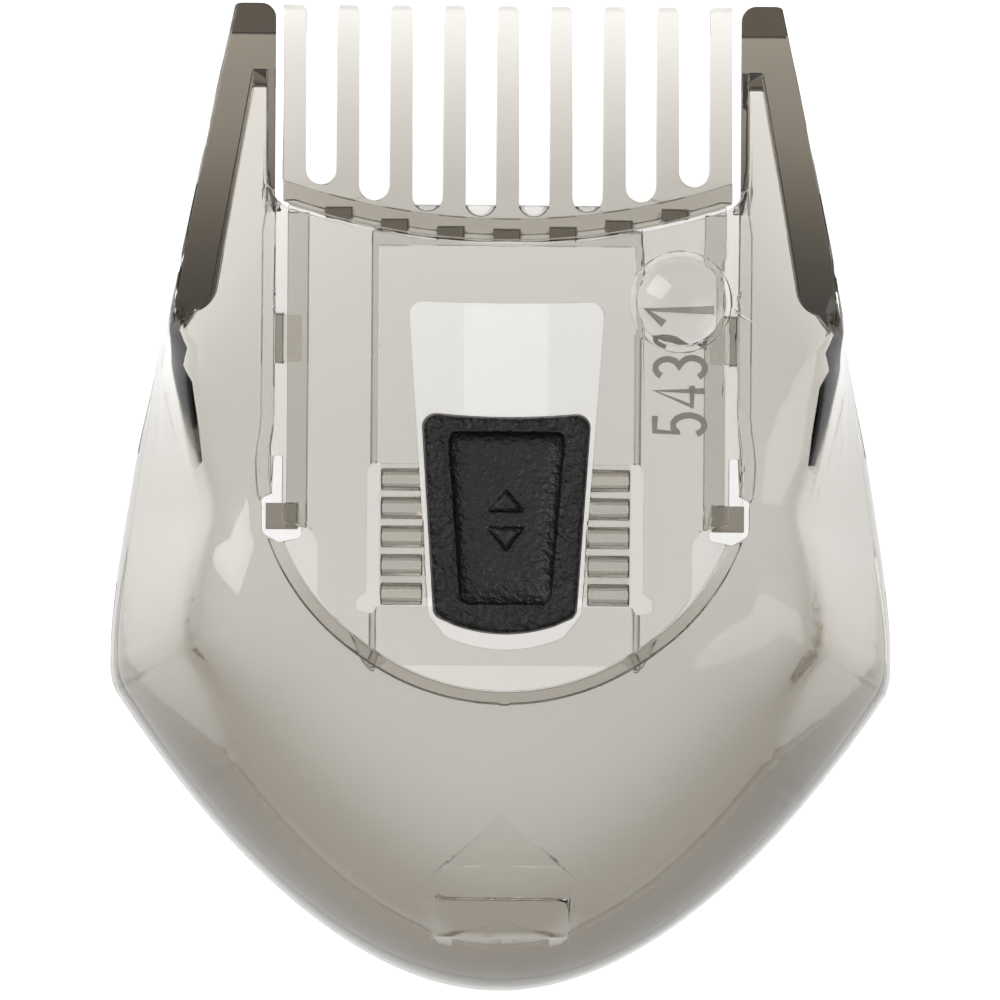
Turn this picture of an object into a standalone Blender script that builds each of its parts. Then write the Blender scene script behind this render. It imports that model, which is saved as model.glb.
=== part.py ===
"""Clipper guard comb: a smoked hood with two side arms, an adjustable nine-tooth comb that
slides behind its front plate, a sprung latch tongue with a thumb button, and a number lens.

The part lies on its open back: X is its width, +Y points to the tooth tips, +Z to the front.
Lengths are written in millimetres and turned into Blender's metres by MM.
"""

import math

import bmesh
import bpy
from mathutils import Matrix, Vector

MM = 0.001

# Overall outline of the hood, seen from the front (half widths)
TIP_Y = 32.8
BOTTOM_Y = -32.8
ARM_TIP_X = 18.45
ARM_LEAN = 0.1975
SHOULDER = (26.07, -10.7)
LOWER_START = (25.75, -12.9)
ARM_INNER_X = 15.4

# Heights
PLATE_TOP = 15.0
PLATE_THICK = 0.8
HOOD_CROWN = 16.8
WALL = 1.3
BOWL_RIM = 2.4
SIDE_FACE_THICK = 1.2
SIDE_ROUND = 4.0
ARM_ROUND = 1.5
ARM_RIM_RISE = 5.0
ARM_TOP_FALL = 1.2
ARM_UNDER = 9.3
ARM_CAP_Y = 30.7
ARM_HOLLOW_END_Y = 27.3
TIP_CORNER = 1.0

# Cutters reach from below the part to above it
THROUGH = (-1.0, 20.0)

# The U-shaped step round the front plate
U_CENTRE_Y = 2.5
U_SIDE_RADIUS = 15.7
U_LOW_RADIUS = 15.2
STEP_WALL = 0.8
ARM_WALL = 0.55

# Window in the front plate
WINDOW_TOP_Y = 13.0
WINDOW_TOP_HALF = 6.5
WINDOW_LOW_Y = -7.6
WINDOW_LOW_HALF = 5.05
WINDOW_BOTTOM_Y = -9.9

# Front edge of the plate, a shallow arc that the comb's root wall follows
PLATE_FRONT_Y = 16.9
PLATE_FRONT_SAG = 2.5

# Settings: five positions, a step apart
STEPS = 4
PITCH = 1.89
NOTCH_LOW_Y = -5.3
LADDER_IN = 5.5
LADDER_OUT = 8.2
LADDER_DEEP = 0.75

# Comb slider
GAP = 0.3
SLIDER_TOP = PLATE_TOP - PLATE_THICK - GAP
SLIDER_THICK = 0.6
SLIDER_HALF = 14.5
SLIDER_BOTTOM_Y = -11.3
RAIL_IN = 13.15
RAIL_DEEP = 1.8
LEDGE_Y = (9.0, 12.2)
CHANNEL_HALF = 8.5
CHANNEL_FLOOR = SLIDER_TOP - 1.0
CHANNEL_THICK = 0.6
GROOVE_DEEP = 0.3
TEETH = 9
TOOTH_PITCH = 3.53
TOOTH_WIDTH = 1.5
TOOTH_LOW = 9.6
TOOTH_ROOT_LOW = 11.5
TOOTH_ROOT_TOP = 13.9
TOOTH_TIP_TOP = 10.8
GAP_END_MID_Y = 18.7
GAP_END_SIDE_Y = 20.8
ROOT_WALL = 1.4
ROOT_WALL_LOW = 12.1
POSTS = 7
POST_PITCH = 3.71
POST_WIDTH = 1.75
POST_LOW = 6.5

# Latch tongue: cut free by a U-shaped slot, bending at its top edge
TONGUE_HALF = 8.3
TONGUE_ROOT_Y = 2.35
TONGUE_END_Y = -6.5
SLOT_HALF = 9.15
SLOT_END_Y = -7.1
PAWL_HIGH = 0.45

# Thumb button
BUTTON_TOP_Y = 5.8
BUTTON_LOW_Y = -7.7
BUTTON_BOTTOM_Y = -8.9
BUTTON_TOP_HALF = 5.65
BUTTON_LOW_HALF = 4.75
BUTTON_UNDER = PLATE_TOP + GAP
BUTTON_TOP = 17.5
DISH_DEEP = 1.0

# Number lens
LENS_X, LENS_Y = 11.5, 13.2
LENS_SEAT_RADIUS = 3.35
LENS_RADIUS = 3.0
LENS_BORE_RADIUS = 2.5
LENS_SEAT_DEEP = 0.5
LENS_RISE = 1.3


# ---------------------------------------------------------------- scene and helpers


def clear_scene():
    for item in list(bpy.data.objects):
        bpy.data.objects.remove(item, do_unlink=True)


def new_collection(name):
    made = bpy.data.collections.new(name)
    bpy.context.scene.collection.children.link(made)
    return made


def plastic(name, colour, roughness, clear=0.0):
    """A Principled plastic; clear is how much light passes through it."""
    made = bpy.data.materials.new(name)
    made.use_nodes = True
    shader = made.node_tree.nodes["Principled BSDF"]
    shader.inputs["Base Color"].default_value = (*colour, 1.0)
    shader.inputs["Roughness"].default_value = roughness
    shader.inputs["Metallic"].default_value = 0.0
    shader.inputs["Transmission Weight"].default_value = clear
    made.diffuse_color = (*colour, 1.0)
    return made


def add_object(name, mesh, collection, made_of=None):
    item = bpy.data.objects.new(name, mesh)
    collection.objects.link(item)
    if made_of:
        mesh.materials.append(made_of)
    return item


def helper(item):
    """Marks a cutting or joining body that isn't part of the product."""
    item.hide_render = True
    item.display_type = "WIRE"
    return item


def mesh_from(bm, name):
    bmesh.ops.recalc_face_normals(bm, faces=bm.faces)
    mesh = bpy.data.meshes.new(name)
    bm.to_mesh(mesh)
    bm.free()
    return mesh


def box(name, x, y, z, collection):
    """A box from (low, high) pairs along each axis."""
    bm = bmesh.new()
    bmesh.ops.create_cube(bm, size=1.0)
    size = [(pair[1] - pair[0]) * MM for pair in (x, y, z)]
    middle = [(pair[1] + pair[0]) / 2 * MM for pair in (x, y, z)]
    bmesh.ops.scale(bm, vec=size, verts=bm.verts)
    bmesh.ops.translate(bm, vec=middle, verts=bm.verts)
    return add_object(name, mesh_from(bm, name), collection)


def extruded(name, outline, z, collection):
    """A flat outline of (x, y) points as a filled 2D curve, extruded between two heights."""
    curve = bpy.data.curves.new(name, "CURVE")
    curve.dimensions = "2D"
    curve.fill_mode = "BOTH"
    curve.extrude = (z[1] - z[0]) / 2 * MM
    spline = curve.splines.new("POLY")
    spline.points.add(len(outline) - 1)
    for point, (x, y) in zip(spline.points, outline):
        point.co = (x * MM, y * MM, 0, 1)
    spline.use_cyclic_u = True
    guide = bpy.data.objects.new(name + "_curve", curve)
    collection.objects.link(guide)
    guide.location.z = (z[0] + z[1]) / 2 * MM
    bpy.context.view_layer.update()
    graph = bpy.context.evaluated_depsgraph_get()
    mesh = bpy.data.meshes.new_from_object(guide.evaluated_get(graph))
    bm = bmesh.new()
    bm.from_mesh(mesh)
    bm.transform(guide.matrix_world)
    bmesh.ops.remove_doubles(bm, verts=bm.verts, dist=1e-7)
    bpy.data.objects.remove(guide, do_unlink=True)
    bpy.data.meshes.remove(mesh)
    return add_object(name, mesh_from(bm, name), collection)


def rounded(corners, steps=4):
    """The outline through corners (x, y, radius), each corner an arc of its radius."""
    points = []
    count = len(corners)
    for i, (x, y, radius) in enumerate(corners):
        here = Vector((x, y))
        before = (Vector(corners[i - 1][:2]) - here).normalized()
        after = (Vector(corners[(i + 1) % count][:2]) - here).normalized()
        if radius <= 0:
            points.append((x, y))
            continue
        half_angle = before.angle(after) / 2
        reach = radius / math.tan(half_angle)
        start, end = here + before * reach, here + after * reach
        middle = here + (before + after).normalized() * (radius / math.sin(half_angle))
        first = math.atan2(*(start - middle).yx)
        turn = math.remainder(math.atan2(*(end - middle).yx) - first, math.tau)
        for k in range(steps + 1):
            angle = first + turn * k / steps
            points.append((middle.x + radius * math.cos(angle),
                           middle.y + radius * math.sin(angle)))
    return points


def mirrored(half):
    """A half outline from top to bottom at +X, closed by its mirror image."""
    other = [(-x, y) for x, y in reversed(half) if abs(x) > 1e-6]
    return half + other


def loft(name, sections, collection):
    """Skins closed sections of equal point count and caps the first and the last."""
    bm = bmesh.new()
    rings = [[bm.verts.new(Vector(p) * MM) for p in section] for section in sections]
    for first, second in zip(rings, rings[1:]):
        for k in range(len(first)):
            n = (k + 1) % len(first)
            bm.faces.new((first[k], first[n], second[n], second[k]))
    bm.faces.new(rings[0])
    bm.faces.new(list(reversed(rings[-1])))
    return add_object(name, mesh_from(bm, name), collection)


def boolean(item, other, operation):
    step = item.modifiers.new(other.name, "BOOLEAN")
    step.operation = operation
    step.solver = "EXACT"
    step.object = other
    helper(other)


def cut(item, other):
    boolean(item, other, "DIFFERENCE")


def join(item, other):
    boolean(item, other, "UNION")


def smooth_shading(item, angle=35):
    item.data.shade_smooth()
    item.data.set_sharp_from_angle(angle=math.radians(angle))


def smoothstep(low, high, value):
    t = min(max((value - low) / (high - low), 0.0), 1.0)
    return t * t * (3 - 2 * t)


def smooth_min(a, b, blend):
    near = max(blend - abs(a - b), 0.0) / blend
    return min(a, b) - near * near * blend / 4


def between(a, b, t):
    return a + (b - a) * t


def bow(half, side_y, mid_y, steps):
    """Corners along a shallow arc, from +half to -half, for rounded()."""
    return [(x, mid_y + (side_y - mid_y) * (x / half) ** 2, 0)
            for x in (between(half, -half, k / steps) for k in range(steps + 1))]


# ---------------------------------------------------------------- hood surface


def quadratic(p, q, r, t):
    return [(1 - t) ** 2 * a + 2 * t * (1 - t) * b + t * t * c for a, b, c in zip(p, q, r)]


def cubic(p, q, r, s, t):
    weights = ((1 - t) ** 3, 3 * t * (1 - t) ** 2, 3 * t * t * (1 - t), t**3)
    return [sum(w * c for w, c in zip(weights, line)) for line in zip(p, q, r, s)]


def side_outline(t):
    """From the arm's tip (t=0) down to the shoulder (t=1)."""
    return quadratic((ARM_TIP_X, TIP_Y), (26.3, -4.0), SHOULDER, t)


def lower_outline(t):
    """From below the shoulder (t=0) round to the middle of the bottom (t=1)."""
    return cubic(LOWER_START, (23.9, -15.6), (12.9, BOTTOM_Y), (0.0, BOTTOM_Y), t)


def outline_points(side_steps, lower_steps):
    points = [side_outline(k / side_steps) for k in range(side_steps + 1)]
    points.append([26.13, -11.7])
    points += [lower_outline(k / lower_steps) for k in range(lower_steps + 1)]
    return points


def arm_top(y):
    return PLATE_TOP - ARM_TOP_FALL * smoothstep(18.0, 34.0, y)


def rim_height(y):
    return ARM_RIM_RISE * smoothstep(8.0, 30.0, y)


def crease_inset(y):
    """How far the edge between the front face and the side wall lies inside the outline."""
    if y > 8.9:
        return between(1.9, 0.35, smoothstep(8.9, 14.5, y))
    return between(1.9, 6.0, min((8.9 - y) / 10.0, 1.0))


def u_radius(turn):
    """Radius of the step round the plate, a little less at the bottom; turn is in degrees."""
    return between(U_SIDE_RADIUS, U_LOW_RADIUS, smoothstep(15.0, 60.0, turn))


def leaf_inset(y):
    """Width of the solid outer rib of the arm, which tapers off below."""
    outline_x = ARM_TIP_X + (TIP_Y - y) * ARM_LEAN
    rib = outline_x - (20.0 - (y - 10.7) * 0.17)
    return between(WALL, rib, smoothstep(9.0, 12.5, y))


class Station:
    """One cross-section of the hood, running outwards from the plate's edge to the rim."""

    def __init__(self, x, y):
        self.sweep = max(math.atan2(U_CENTRE_Y - y, x), 0.0)
        if y >= U_CENTRE_Y:
            self.foot = Vector((0.0, y))
            self.ray = Vector((1.0, 0.0))
            step = smoothstep(U_CENTRE_Y, U_CENTRE_Y + 3.0, y)
            self.inner = between(U_SIDE_RADIUS, ARM_INNER_X, step)
        else:
            self.foot = Vector((0.0, U_CENTRE_Y))
            self.ray = Vector((x, y - U_CENTRE_Y)).normalized()
            self.inner = u_radius(math.degrees(self.sweep))
        self.outer = (Vector((x, y)) - self.foot).length
        self.rim = rim_height(y)
        self.y = y
        turn = math.degrees(self.sweep)
        self.crown = between(arm_top(y), HOOD_CROWN, smoothstep(0.0, 50.0, turn))
        self.bowl = smoothstep(8.0, 50.0, turn)
        self.crease = self.outer - crease_inset(y)
        self.edge_round = between(SIDE_ROUND, ARM_ROUND, smoothstep(4.0, 12.0, y))

    def height(self, radius, thick=0.0, inset=0.0):
        """Height of the outer skin, or of the inner one when a thickness is given."""
        top = self.crown - thick
        outer = self.outer - inset
        slope = (self.crown - self.rim) / (self.outer - self.crease)
        wall = self.rim + slope * (outer - radius)
        side = smooth_min(top, wall, self.edge_round)
        t = min(max((radius - self.inner) / (outer - self.inner), 0.0), 1.0)
        bowl = self.rim + (top - self.rim) * math.sqrt(1 - t * t)
        return between(side, bowl, self.bowl)

    def radii(self, start, end, flat_steps, wall_steps):
        """Distances along the section, closer together down the wall."""
        knee = between(min(self.crease, end - 0.6), between(start, end, 0.55), self.bowl)
        knee = max(knee, start + 0.3)
        flat = [between(start, knee, k / flat_steps) for k in range(flat_steps)]
        wall = [between(knee, end, math.sin(math.pi / 2 * k / wall_steps))
                for k in range(wall_steps + 1)]
        return flat + wall

    def at(self, radius, z):
        place = self.foot + self.ray * radius
        return (place.x, place.y, z)


def outer_section(station, flat_steps=4, wall_steps=8):
    radii = station.radii(station.inner, station.outer, flat_steps, wall_steps)
    skin = [station.at(r, station.height(r)) for r in radii[:-1]]
    skin.append(station.at(station.outer, station.rim))
    return [station.at(station.inner, station.rim)] + skin


def inner_section(station, flat_steps=4, wall_steps=8):
    """The space behind the hood's skin; it leaves the step wall and the plate standing."""
    thick = between(SIDE_FACE_THICK, WALL, station.bowl)
    inset = between(leaf_inset(station.y), BOWL_RIM, station.bowl)
    arm = smoothstep(17.5, 19.5, station.y)
    start = station.inner + between(STEP_WALL, ARM_WALL, arm)
    edge = between(station.inner - 2.5, start - 0.02, arm)
    end = station.outer - inset
    radii = station.radii(start, end, flat_steps, wall_steps)
    skin = [station.at(r, station.height(r, thick, inset)) for r in radii[:-1]]
    skin.append(station.at(end, station.rim))
    ceiling = min(PLATE_TOP - PLATE_THICK - 0.05, skin[0][2] - 0.1)
    low = THROUGH[0]
    opening = [station.at(edge, low), station.at(edge, ceiling), station.at(start, ceiling)]
    return opening + skin + [station.at(end, low)]


def round_the_hood(points, section):
    """Sections from the right arm, round the bottom, to the left arm."""
    right = [section(Station(x, y)) for x, y in points]
    left = [[(-x, y, z) for x, y, z in ring] for ring in reversed(right[:-1])]
    return right + left


# ---------------------------------------------------------------- hood


def plate_front(x):
    return PLATE_FRONT_Y + PLATE_FRONT_SAG * (x / 15.0) ** 2


def arc_between(x_from, x_to, steps, shift):
    return [(x, plate_front(x) + shift)
            for x in (between(x_from, x_to, k / steps) for k in range(steps + 1))]


def plate_outline():
    """Front plate: a shallow arc at the top, straight sides and a round bottom."""
    overlap = 0.45
    half = U_SIDE_RADIUS + overlap
    front = arc_between(0.0, 14.6, 8, 0.0)
    corner = [(15.15, plate_front(15.0) + 0.25), (15.6, plate_front(15.0) + 0.9), (half, 20.6)]
    round_steps = 14
    below = []
    for k in range(round_steps + 1):
        turn = 90.0 * k / round_steps
        radius = u_radius(turn) + overlap
        below.append((radius * math.cos(math.radians(turn)),
                      U_CENTRE_Y - radius * math.sin(math.radians(turn))))
    below[-1] = (0.0, below[-1][1])
    return mirrored(front + corner + below)


def window_outline():
    top = [(x, y, 0) for x, y, _ in reversed(bow(5.0, WINDOW_TOP_Y + 0.08, WINDOW_TOP_Y, 2))]
    return rounded([(-WINDOW_TOP_HALF, WINDOW_TOP_Y + 0.15, 0.9)] + top
                   + [(WINDOW_TOP_HALF, WINDOW_TOP_Y + 0.15, 0.9), (WINDOW_LOW_HALF, WINDOW_LOW_Y, 0.9)]
                   + bow(3.9, -9.05, WINDOW_BOTTOM_Y, 8)
                   + [(-WINDOW_LOW_HALF, WINDOW_LOW_Y, 0.9)], 3)


def foot_notch_outline(side):
    """Opening in the plate's edge beside each foot of the slider."""
    corners = rounded([(14.8, 2.8, 0.1), (15.35, 2.8, 0.1), (15.45, 0.3, 0.1), (16.15, 0.0, 0.3),
                       (16.1, -2.3, 0.5), (15.0, -2.9, 0.3), (13.5, -2.6, 0.3),
                       (13.5, -1.8, 0.1), (14.8, -1.5, 0.1)], 2)
    return [(side * x, y) for x, y in corners]


def ladder_ridges(hood, cutters):
    """Ridges under the plate, each above one of the notches, on both sides."""
    under = PLATE_TOP - PLATE_THICK
    for side in (-1, 1):
        for k in range(STEPS + 1):
            middle = NOTCH_LOW_Y + (k - 0.5) * PITCH
            x = sorted((side * LADDER_IN, side * LADDER_OUT))
            ridge = box(f"ladder_ridge_{side}_{k}", x, (middle - 0.4, middle + 0.4),
                        (under - LADDER_DEEP, under + 0.4), cutters)
            join(hood, ridge)


def guide_ledges(hood, cutters):
    """L-shaped ledges behind the slider's rails, above the reach of its feet."""
    low_y, high_y = LEDGE_Y
    rail_low = SLIDER_TOP - RAIL_DEEP
    for side in (-1, 1):
        web_x = sorted((side * (SLIDER_HALF + GAP), side * (SLIDER_HALF + GAP + 0.5)))
        join(hood, box(f"guide_web_{side}", web_x, (low_y, high_y),
                       (rail_low - GAP - 0.6, PLATE_TOP - 0.5), cutters))
        lip_x = sorted((side * (RAIL_IN + 0.4), side * (SLIDER_HALF + GAP + 0.3)))
        join(hood, box(f"guide_lip_{side}", lip_x, (low_y + 0.05, high_y - 0.05),
                       (rail_low - GAP - 0.55, rail_low - GAP), cutters))


def cylinder(name, x, y, radius, z, collection, segments=40):
    bm = bmesh.new()
    bmesh.ops.create_cone(bm, cap_ends=True, segments=segments, radius1=radius * MM,
                          radius2=radius * MM, depth=(z[1] - z[0]) * MM)
    bmesh.ops.translate(bm, vec=(x * MM, y * MM, (z[0] + z[1]) / 2 * MM), verts=bm.verts)
    return add_object(name, mesh_from(bm, name), collection)


def arm_underside_profile():
    """Side view, (y, z), of the space under an arm: the arm gets shallower towards its tip."""
    steps = 8
    rise = [(y, ARM_UNDER * smoothstep(3.0, 25.0, y))
            for y in (between(25.0, 3.6, k / steps) for k in range(steps + 1))]
    return [(ARM_CAP_Y, THROUGH[0]), (ARM_CAP_Y, ARM_UNDER)] + rise + [(3.6, THROUGH[0])]


def tip_corner_outline(side, inner):
    """What is cut from a square corner of the arm's tip to round it."""
    low_y = TIP_Y - TIP_CORNER
    if inner:
        middle_x, start, beyond = ARM_INNER_X + TIP_CORNER, math.pi, ARM_INNER_X - 0.6
    else:
        middle_x = ARM_TIP_X + TIP_CORNER * (ARM_LEAN - math.hypot(1.0, ARM_LEAN))
        start, beyond = math.atan(ARM_LEAN), ARM_TIP_X + 1.2
    arc = [(middle_x + TIP_CORNER * math.cos(a), low_y + TIP_CORNER * math.sin(a))
           for a in (between(start, math.pi / 2, k / 4) for k in range(4 + 1))]
    outline = arc + [(middle_x, TIP_Y + 0.6), (beyond, TIP_Y + 0.6), (beyond, arc[0][1])]
    return [(side * x, y) for x, y in outline]


def shape_arms(hood, cutters):
    profile = arm_underside_profile()
    for side in (-1, 1):
        sections = [[(side * x, y, z) for y, z in profile] for x in (ARM_INNER_X - 1.4, 26.0)]
        cut(hood, loft(f"arm_underside_{side}", sections, cutters))
        for inner in (True, False):
            outline = tip_corner_outline(side, inner)
            cut(hood, extruded(f"tip_corner_{side}_{inner}", outline, THROUGH, cutters))


def guard_hood(parts, cutters, made_of):
    points = outline_points(side_steps=11, lower_steps=15)
    hood = loft("guard_hood", round_the_hood(points, outer_section), parts)
    hood.data.materials.append(made_of)
    hollow_points = [p for p in points if p[1] < ARM_HOLLOW_END_Y]
    cut(hood, loft("hood_hollow", round_the_hood(hollow_points, inner_section), cutters))
    join(hood, extruded("plate", plate_outline(),
                        (PLATE_TOP - PLATE_THICK, PLATE_TOP - 0.03), cutters))
    ladder_ridges(hood, cutters)
    guide_ledges(hood, cutters)
    shape_arms(hood, cutters)
    cut(hood, extruded("window", window_outline(), (10.0, 20.0), cutters))
    seat_floor = PLATE_TOP - LENS_SEAT_DEEP
    cut(hood, cylinder("lens_seat", LENS_X, LENS_Y, LENS_SEAT_RADIUS, (seat_floor, 20), cutters))
    cut(hood, cylinder("lens_bore", LENS_X, LENS_Y, LENS_BORE_RADIUS, (10, 20), cutters))
    for side in (-1, 1):
        cut(hood, extruded(f"foot_notch_{side}", foot_notch_outline(side), (12.0, 20.0), cutters))
    smooth_shading(hood)
    return hood


# ---------------------------------------------------------------- comb slider


def teeth_profile():
    """Side view of a tooth, (y, z): deep at the root, thin and rounded at the tip."""
    tip = TOOTH_TIP_TOP - TOOTH_LOW
    arc = [(TIP_Y - tip / 2 + tip / 2 * math.cos(a), TOOTH_LOW + tip / 2 + tip / 2 * math.sin(a))
           for a in (math.radians(d) for d in range(-90, 91, 30))]
    root_y = PLATE_FRONT_Y + GAP + 0.4
    root = [(GAP_END_SIDE_Y, TOOTH_ROOT_TOP), (root_y, TOOTH_ROOT_TOP)]
    return [(root_y, TOOTH_ROOT_LOW), (GAP_END_SIDE_Y, TOOTH_ROOT_LOW)] + arc + root


def teeth_block(collection):
    """One block across all the teeth; the gaps are cut from it."""
    profile = teeth_profile()
    half = ((TEETH - 1) * TOOTH_PITCH + TOOTH_WIDTH) / 2
    sections = [[(x, y, z) for y, z in profile] for x in (-half, half)]
    return loft("comb_slider", sections, collection)


def gap_outline(index):
    """Plan of the gap to the right of tooth number index: parallel sides, a round end."""
    x = (index - (TEETH - 2) / 2) * TOOTH_PITCH
    radius = (TOOTH_PITCH - TOOTH_WIDTH) / 2
    end = between(GAP_END_MID_Y, GAP_END_SIDE_Y, (x / (3.5 * TOOTH_PITCH)) ** 2)
    arc = [(x + radius * math.cos(a), end + radius + radius * math.sin(a))
           for a in (math.radians(d) for d in range(180, 361, 22))]
    return [(x - radius, TIP_Y + 1)] + arc + [(x + radius, end + radius), (x + radius, TIP_Y + 1)]


def root_wall_outline():
    half = SLIDER_HALF + 0.35
    low = arc_between(-half, half, 16, GAP)
    high = arc_between(half, -half, 16, GAP + ROOT_WALL)
    return low + high


def add_posts(slider, cutters):
    for k in range(POSTS):
        x = (k - (POSTS - 1) / 2) * POST_PITCH
        y = plate_front(x) + GAP
        post = box(f"spacer_post_{k}", (x - POST_WIDTH / 2, x + POST_WIDTH / 2),
                   (y + 0.15, y + 1.25), (POST_LOW, ROOT_WALL_LOW + 0.5), cutters)
        join(slider, post)


def slider_plate_outline():
    half = SLIDER_HALF
    low_half = 12.4
    side = [(half, PLATE_FRONT_Y + 2.6), (half, -1.6), (low_half + 0.6, -2.0),
            (low_half, -2.8), (low_half, -6.4), (low_half - 3.6, SLIDER_BOTTOM_Y)]
    return mirrored(side)


def tongue_slot_outline():
    """The opening that frees the tongue, with small feet at its lower corners."""
    right = [(8.6, TONGUE_ROOT_Y + GAP), (SLOT_HALF, 1.9), (SLOT_HALF, -6.3), (9.8, -6.6),
             (9.8, -7.3), (9.2, -7.6), (8.7, SLOT_END_Y)]
    return mirrored(right)


def comb_slider(parts, cutters, made_of):
    slider = teeth_block(parts)
    slider.data.materials.append(made_of)
    for index in range(TEETH - 1):
        cut(slider, extruded(f"tooth_gap_{index}", gap_outline(index), (0, 20), cutters))
    behind = arc_between(16.0, -16.0, 16, GAP + 0.4) + [(-16.0, 10.0), (16.0, 10.0)]
    cut(slider, extruded("behind_root", behind, (0, 20), cutters))
    join(slider, extruded("root_wall", root_wall_outline(), (ROOT_WALL_LOW, PLATE_TOP), cutters))
    add_posts(slider, cutters)
    join(slider, extruded("slider_plate", slider_plate_outline(),
                          (SLIDER_TOP - SLIDER_THICK, SLIDER_TOP), cutters))
    join(slider, box("channel_floor", (-CHANNEL_HALF - 0.4, CHANNEL_HALF + 0.4),
                     (SLIDER_BOTTOM_Y + 0.3, PLATE_FRONT_Y + 0.9),
                     (CHANNEL_FLOOR - CHANNEL_THICK, CHANNEL_FLOOR + 0.6), cutters))
    for side in (-1, 1):
        rail_x = sorted((side * RAIL_IN, side * (SLIDER_HALF - 0.02)))
        join(slider, box(f"rail_{side}", rail_x, (-1.9, PLATE_FRONT_Y + 2.0),
                         (SLIDER_TOP - RAIL_DEEP, SLIDER_TOP - 0.02), cutters))
        foot_x = sorted((side * 13.7, side * 15.85))
        join(slider, box(f"foot_{side}", foot_x, (-2.05, -0.3), (8.0, 12.9), cutters))
    cut(slider, box("channel", (-CHANNEL_HALF, CHANNEL_HALF), (SLIDER_BOTTOM_Y - 1, PLATE_FRONT_Y - 0.1),
                    (CHANNEL_FLOOR, PLATE_TOP + 1), cutters))
    cut(slider, extruded("tongue_slot", tongue_slot_outline(), (5, 20), cutters))
    cut(slider, box("centre_groove", (-2.83, 2.83), (TONGUE_ROOT_Y, 12.8),
                    (CHANNEL_FLOOR - GROOVE_DEEP, CHANNEL_FLOOR + 1), cutters))
    smooth_shading(slider)
    return slider


# ---------------------------------------------------------------- latch tongue and button


def latch_tongue(parts, cutters, made_of, pivot):
    outline = rounded([(-TONGUE_HALF, TONGUE_ROOT_Y, 0.15), (-TONGUE_HALF, TONGUE_END_Y, 0.3),
                       (TONGUE_HALF, TONGUE_END_Y, 0.3), (TONGUE_HALF, TONGUE_ROOT_Y, 0.15)], 2)
    tongue = extruded("latch_tongue", outline, (CHANNEL_FLOOR - CHANNEL_THICK, CHANNEL_FLOOR), parts)
    tongue.data.materials.append(made_of)
    for side in (-1, 1):
        pawl_x = sorted((side * (LADDER_IN + 0.1), side * (LADDER_OUT - 0.1)))
        join(tongue, box(f"pawl_{side}", pawl_x, (NOTCH_LOW_Y - 0.35, NOTCH_LOW_Y + 0.35),
                         (CHANNEL_FLOOR - 0.4, CHANNEL_FLOOR + PAWL_HIGH), cutters))
        hole_x = sorted((side * 2.0, side * 3.6))
        cut(tongue, box(f"leg_hole_{side}", hole_x, (-4.9, -2.3), (5, 20), cutters))
    place_at(tongue, pivot)
    smooth_shading(tongue)
    return tongue


def place_at(item, pivot):
    """Moves an object's origin to a point, leaving its shape where it is."""
    item.data.transform(Matrix.Translation(-Vector(pivot) * MM))
    item.location = Vector(pivot) * MM


def button_outline(grow=0.0):
    top = [(x, y + grow, 0) for x, y, _ in reversed(bow(4.3, BUTTON_TOP_Y - 0.1, BUTTON_TOP_Y - 0.3, 2))]
    low = [(x, y - grow, 0) for x, y, _ in bow(3.3, BUTTON_BOTTOM_Y + 0.55, BUTTON_BOTTOM_Y, 6)]
    return rounded([(-BUTTON_TOP_HALF - grow, BUTTON_TOP_Y + grow, 0.9)] + top
                   + [(BUTTON_TOP_HALF + grow, BUTTON_TOP_Y + grow, 0.9),
                      (BUTTON_LOW_HALF + grow, BUTTON_LOW_Y - grow, 0.8)] + low
                   + [(-BUTTON_LOW_HALF - grow, BUTTON_LOW_Y - grow, 0.8)], 4)


def dish_outline(grow):
    return rounded([(-3.75 - grow, 4.45 + grow, 0.6), (3.75 + grow, 4.45 + grow, 0.6),
                    (2.9 + grow, -6.6 - grow, 0.7), (-2.9 - grow, -6.6 - grow, 0.7)], 3)


def ring_loft(name, levels, collection):
    """Skins outlines of equal point count stacked at rising heights: (outline, z) pairs."""
    sections = [[(x, y, z) for x, y in outline] for outline, z in levels]
    return loft(name, sections, collection)


def arrow_outline(apex_y, base_y, half):
    return [(-half, base_y), (half, base_y), (0.0, apex_y)]


def thumb_button(parts, cutters, made_of, pivot):
    edge = 0.35
    button = ring_loft("thumb_button", [(button_outline(-0.15), BUTTON_UNDER),
                                        (button_outline(0.0), BUTTON_UNDER + edge),
                                        (button_outline(-0.1), BUTTON_TOP - edge),
                                        (button_outline(-0.45), BUTTON_TOP)], parts)
    button.data.materials.append(made_of)
    floor = BUTTON_TOP - DISH_DEEP
    cut(button, ring_loft("dish", [(dish_outline(-0.35), floor), (dish_outline(0.0), BUTTON_TOP),
                                   (dish_outline(0.2), BUTTON_TOP + 0.5)], cutters))
    for name, apex, base in (("arrow_up", 0.76, -0.8), ("arrow_down", -3.45, -1.75)):
        join(button, extruded(name, arrow_outline(apex, base, 1.33),
                              (floor - 0.3, floor + 0.25), cutters))
    join(button, box("stem", (-3.7, 3.7), (-5.6, 1.7),
                     (CHANNEL_FLOOR + GAP, BUTTON_UNDER + 0.4), cutters))
    under = CHANNEL_FLOOR - CHANNEL_THICK - GAP
    for side in (-1, 1):
        leg_x = sorted((side * 2.3, side * 3.3))
        join(button, box(f"leg_{side}", leg_x, (-4.6, -2.6), (under - 0.8, CHANNEL_FLOOR + 0.6), cutters))
        hook_x = sorted((side * 2.8, side * 4.0))
        join(button, box(f"hook_{side}", hook_x, (-4.55, -2.65), (under - 0.75, under), cutters))
    place_at(button, pivot)
    smooth_shading(button)
    return button


# ---------------------------------------------------------------- number lens


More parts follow.
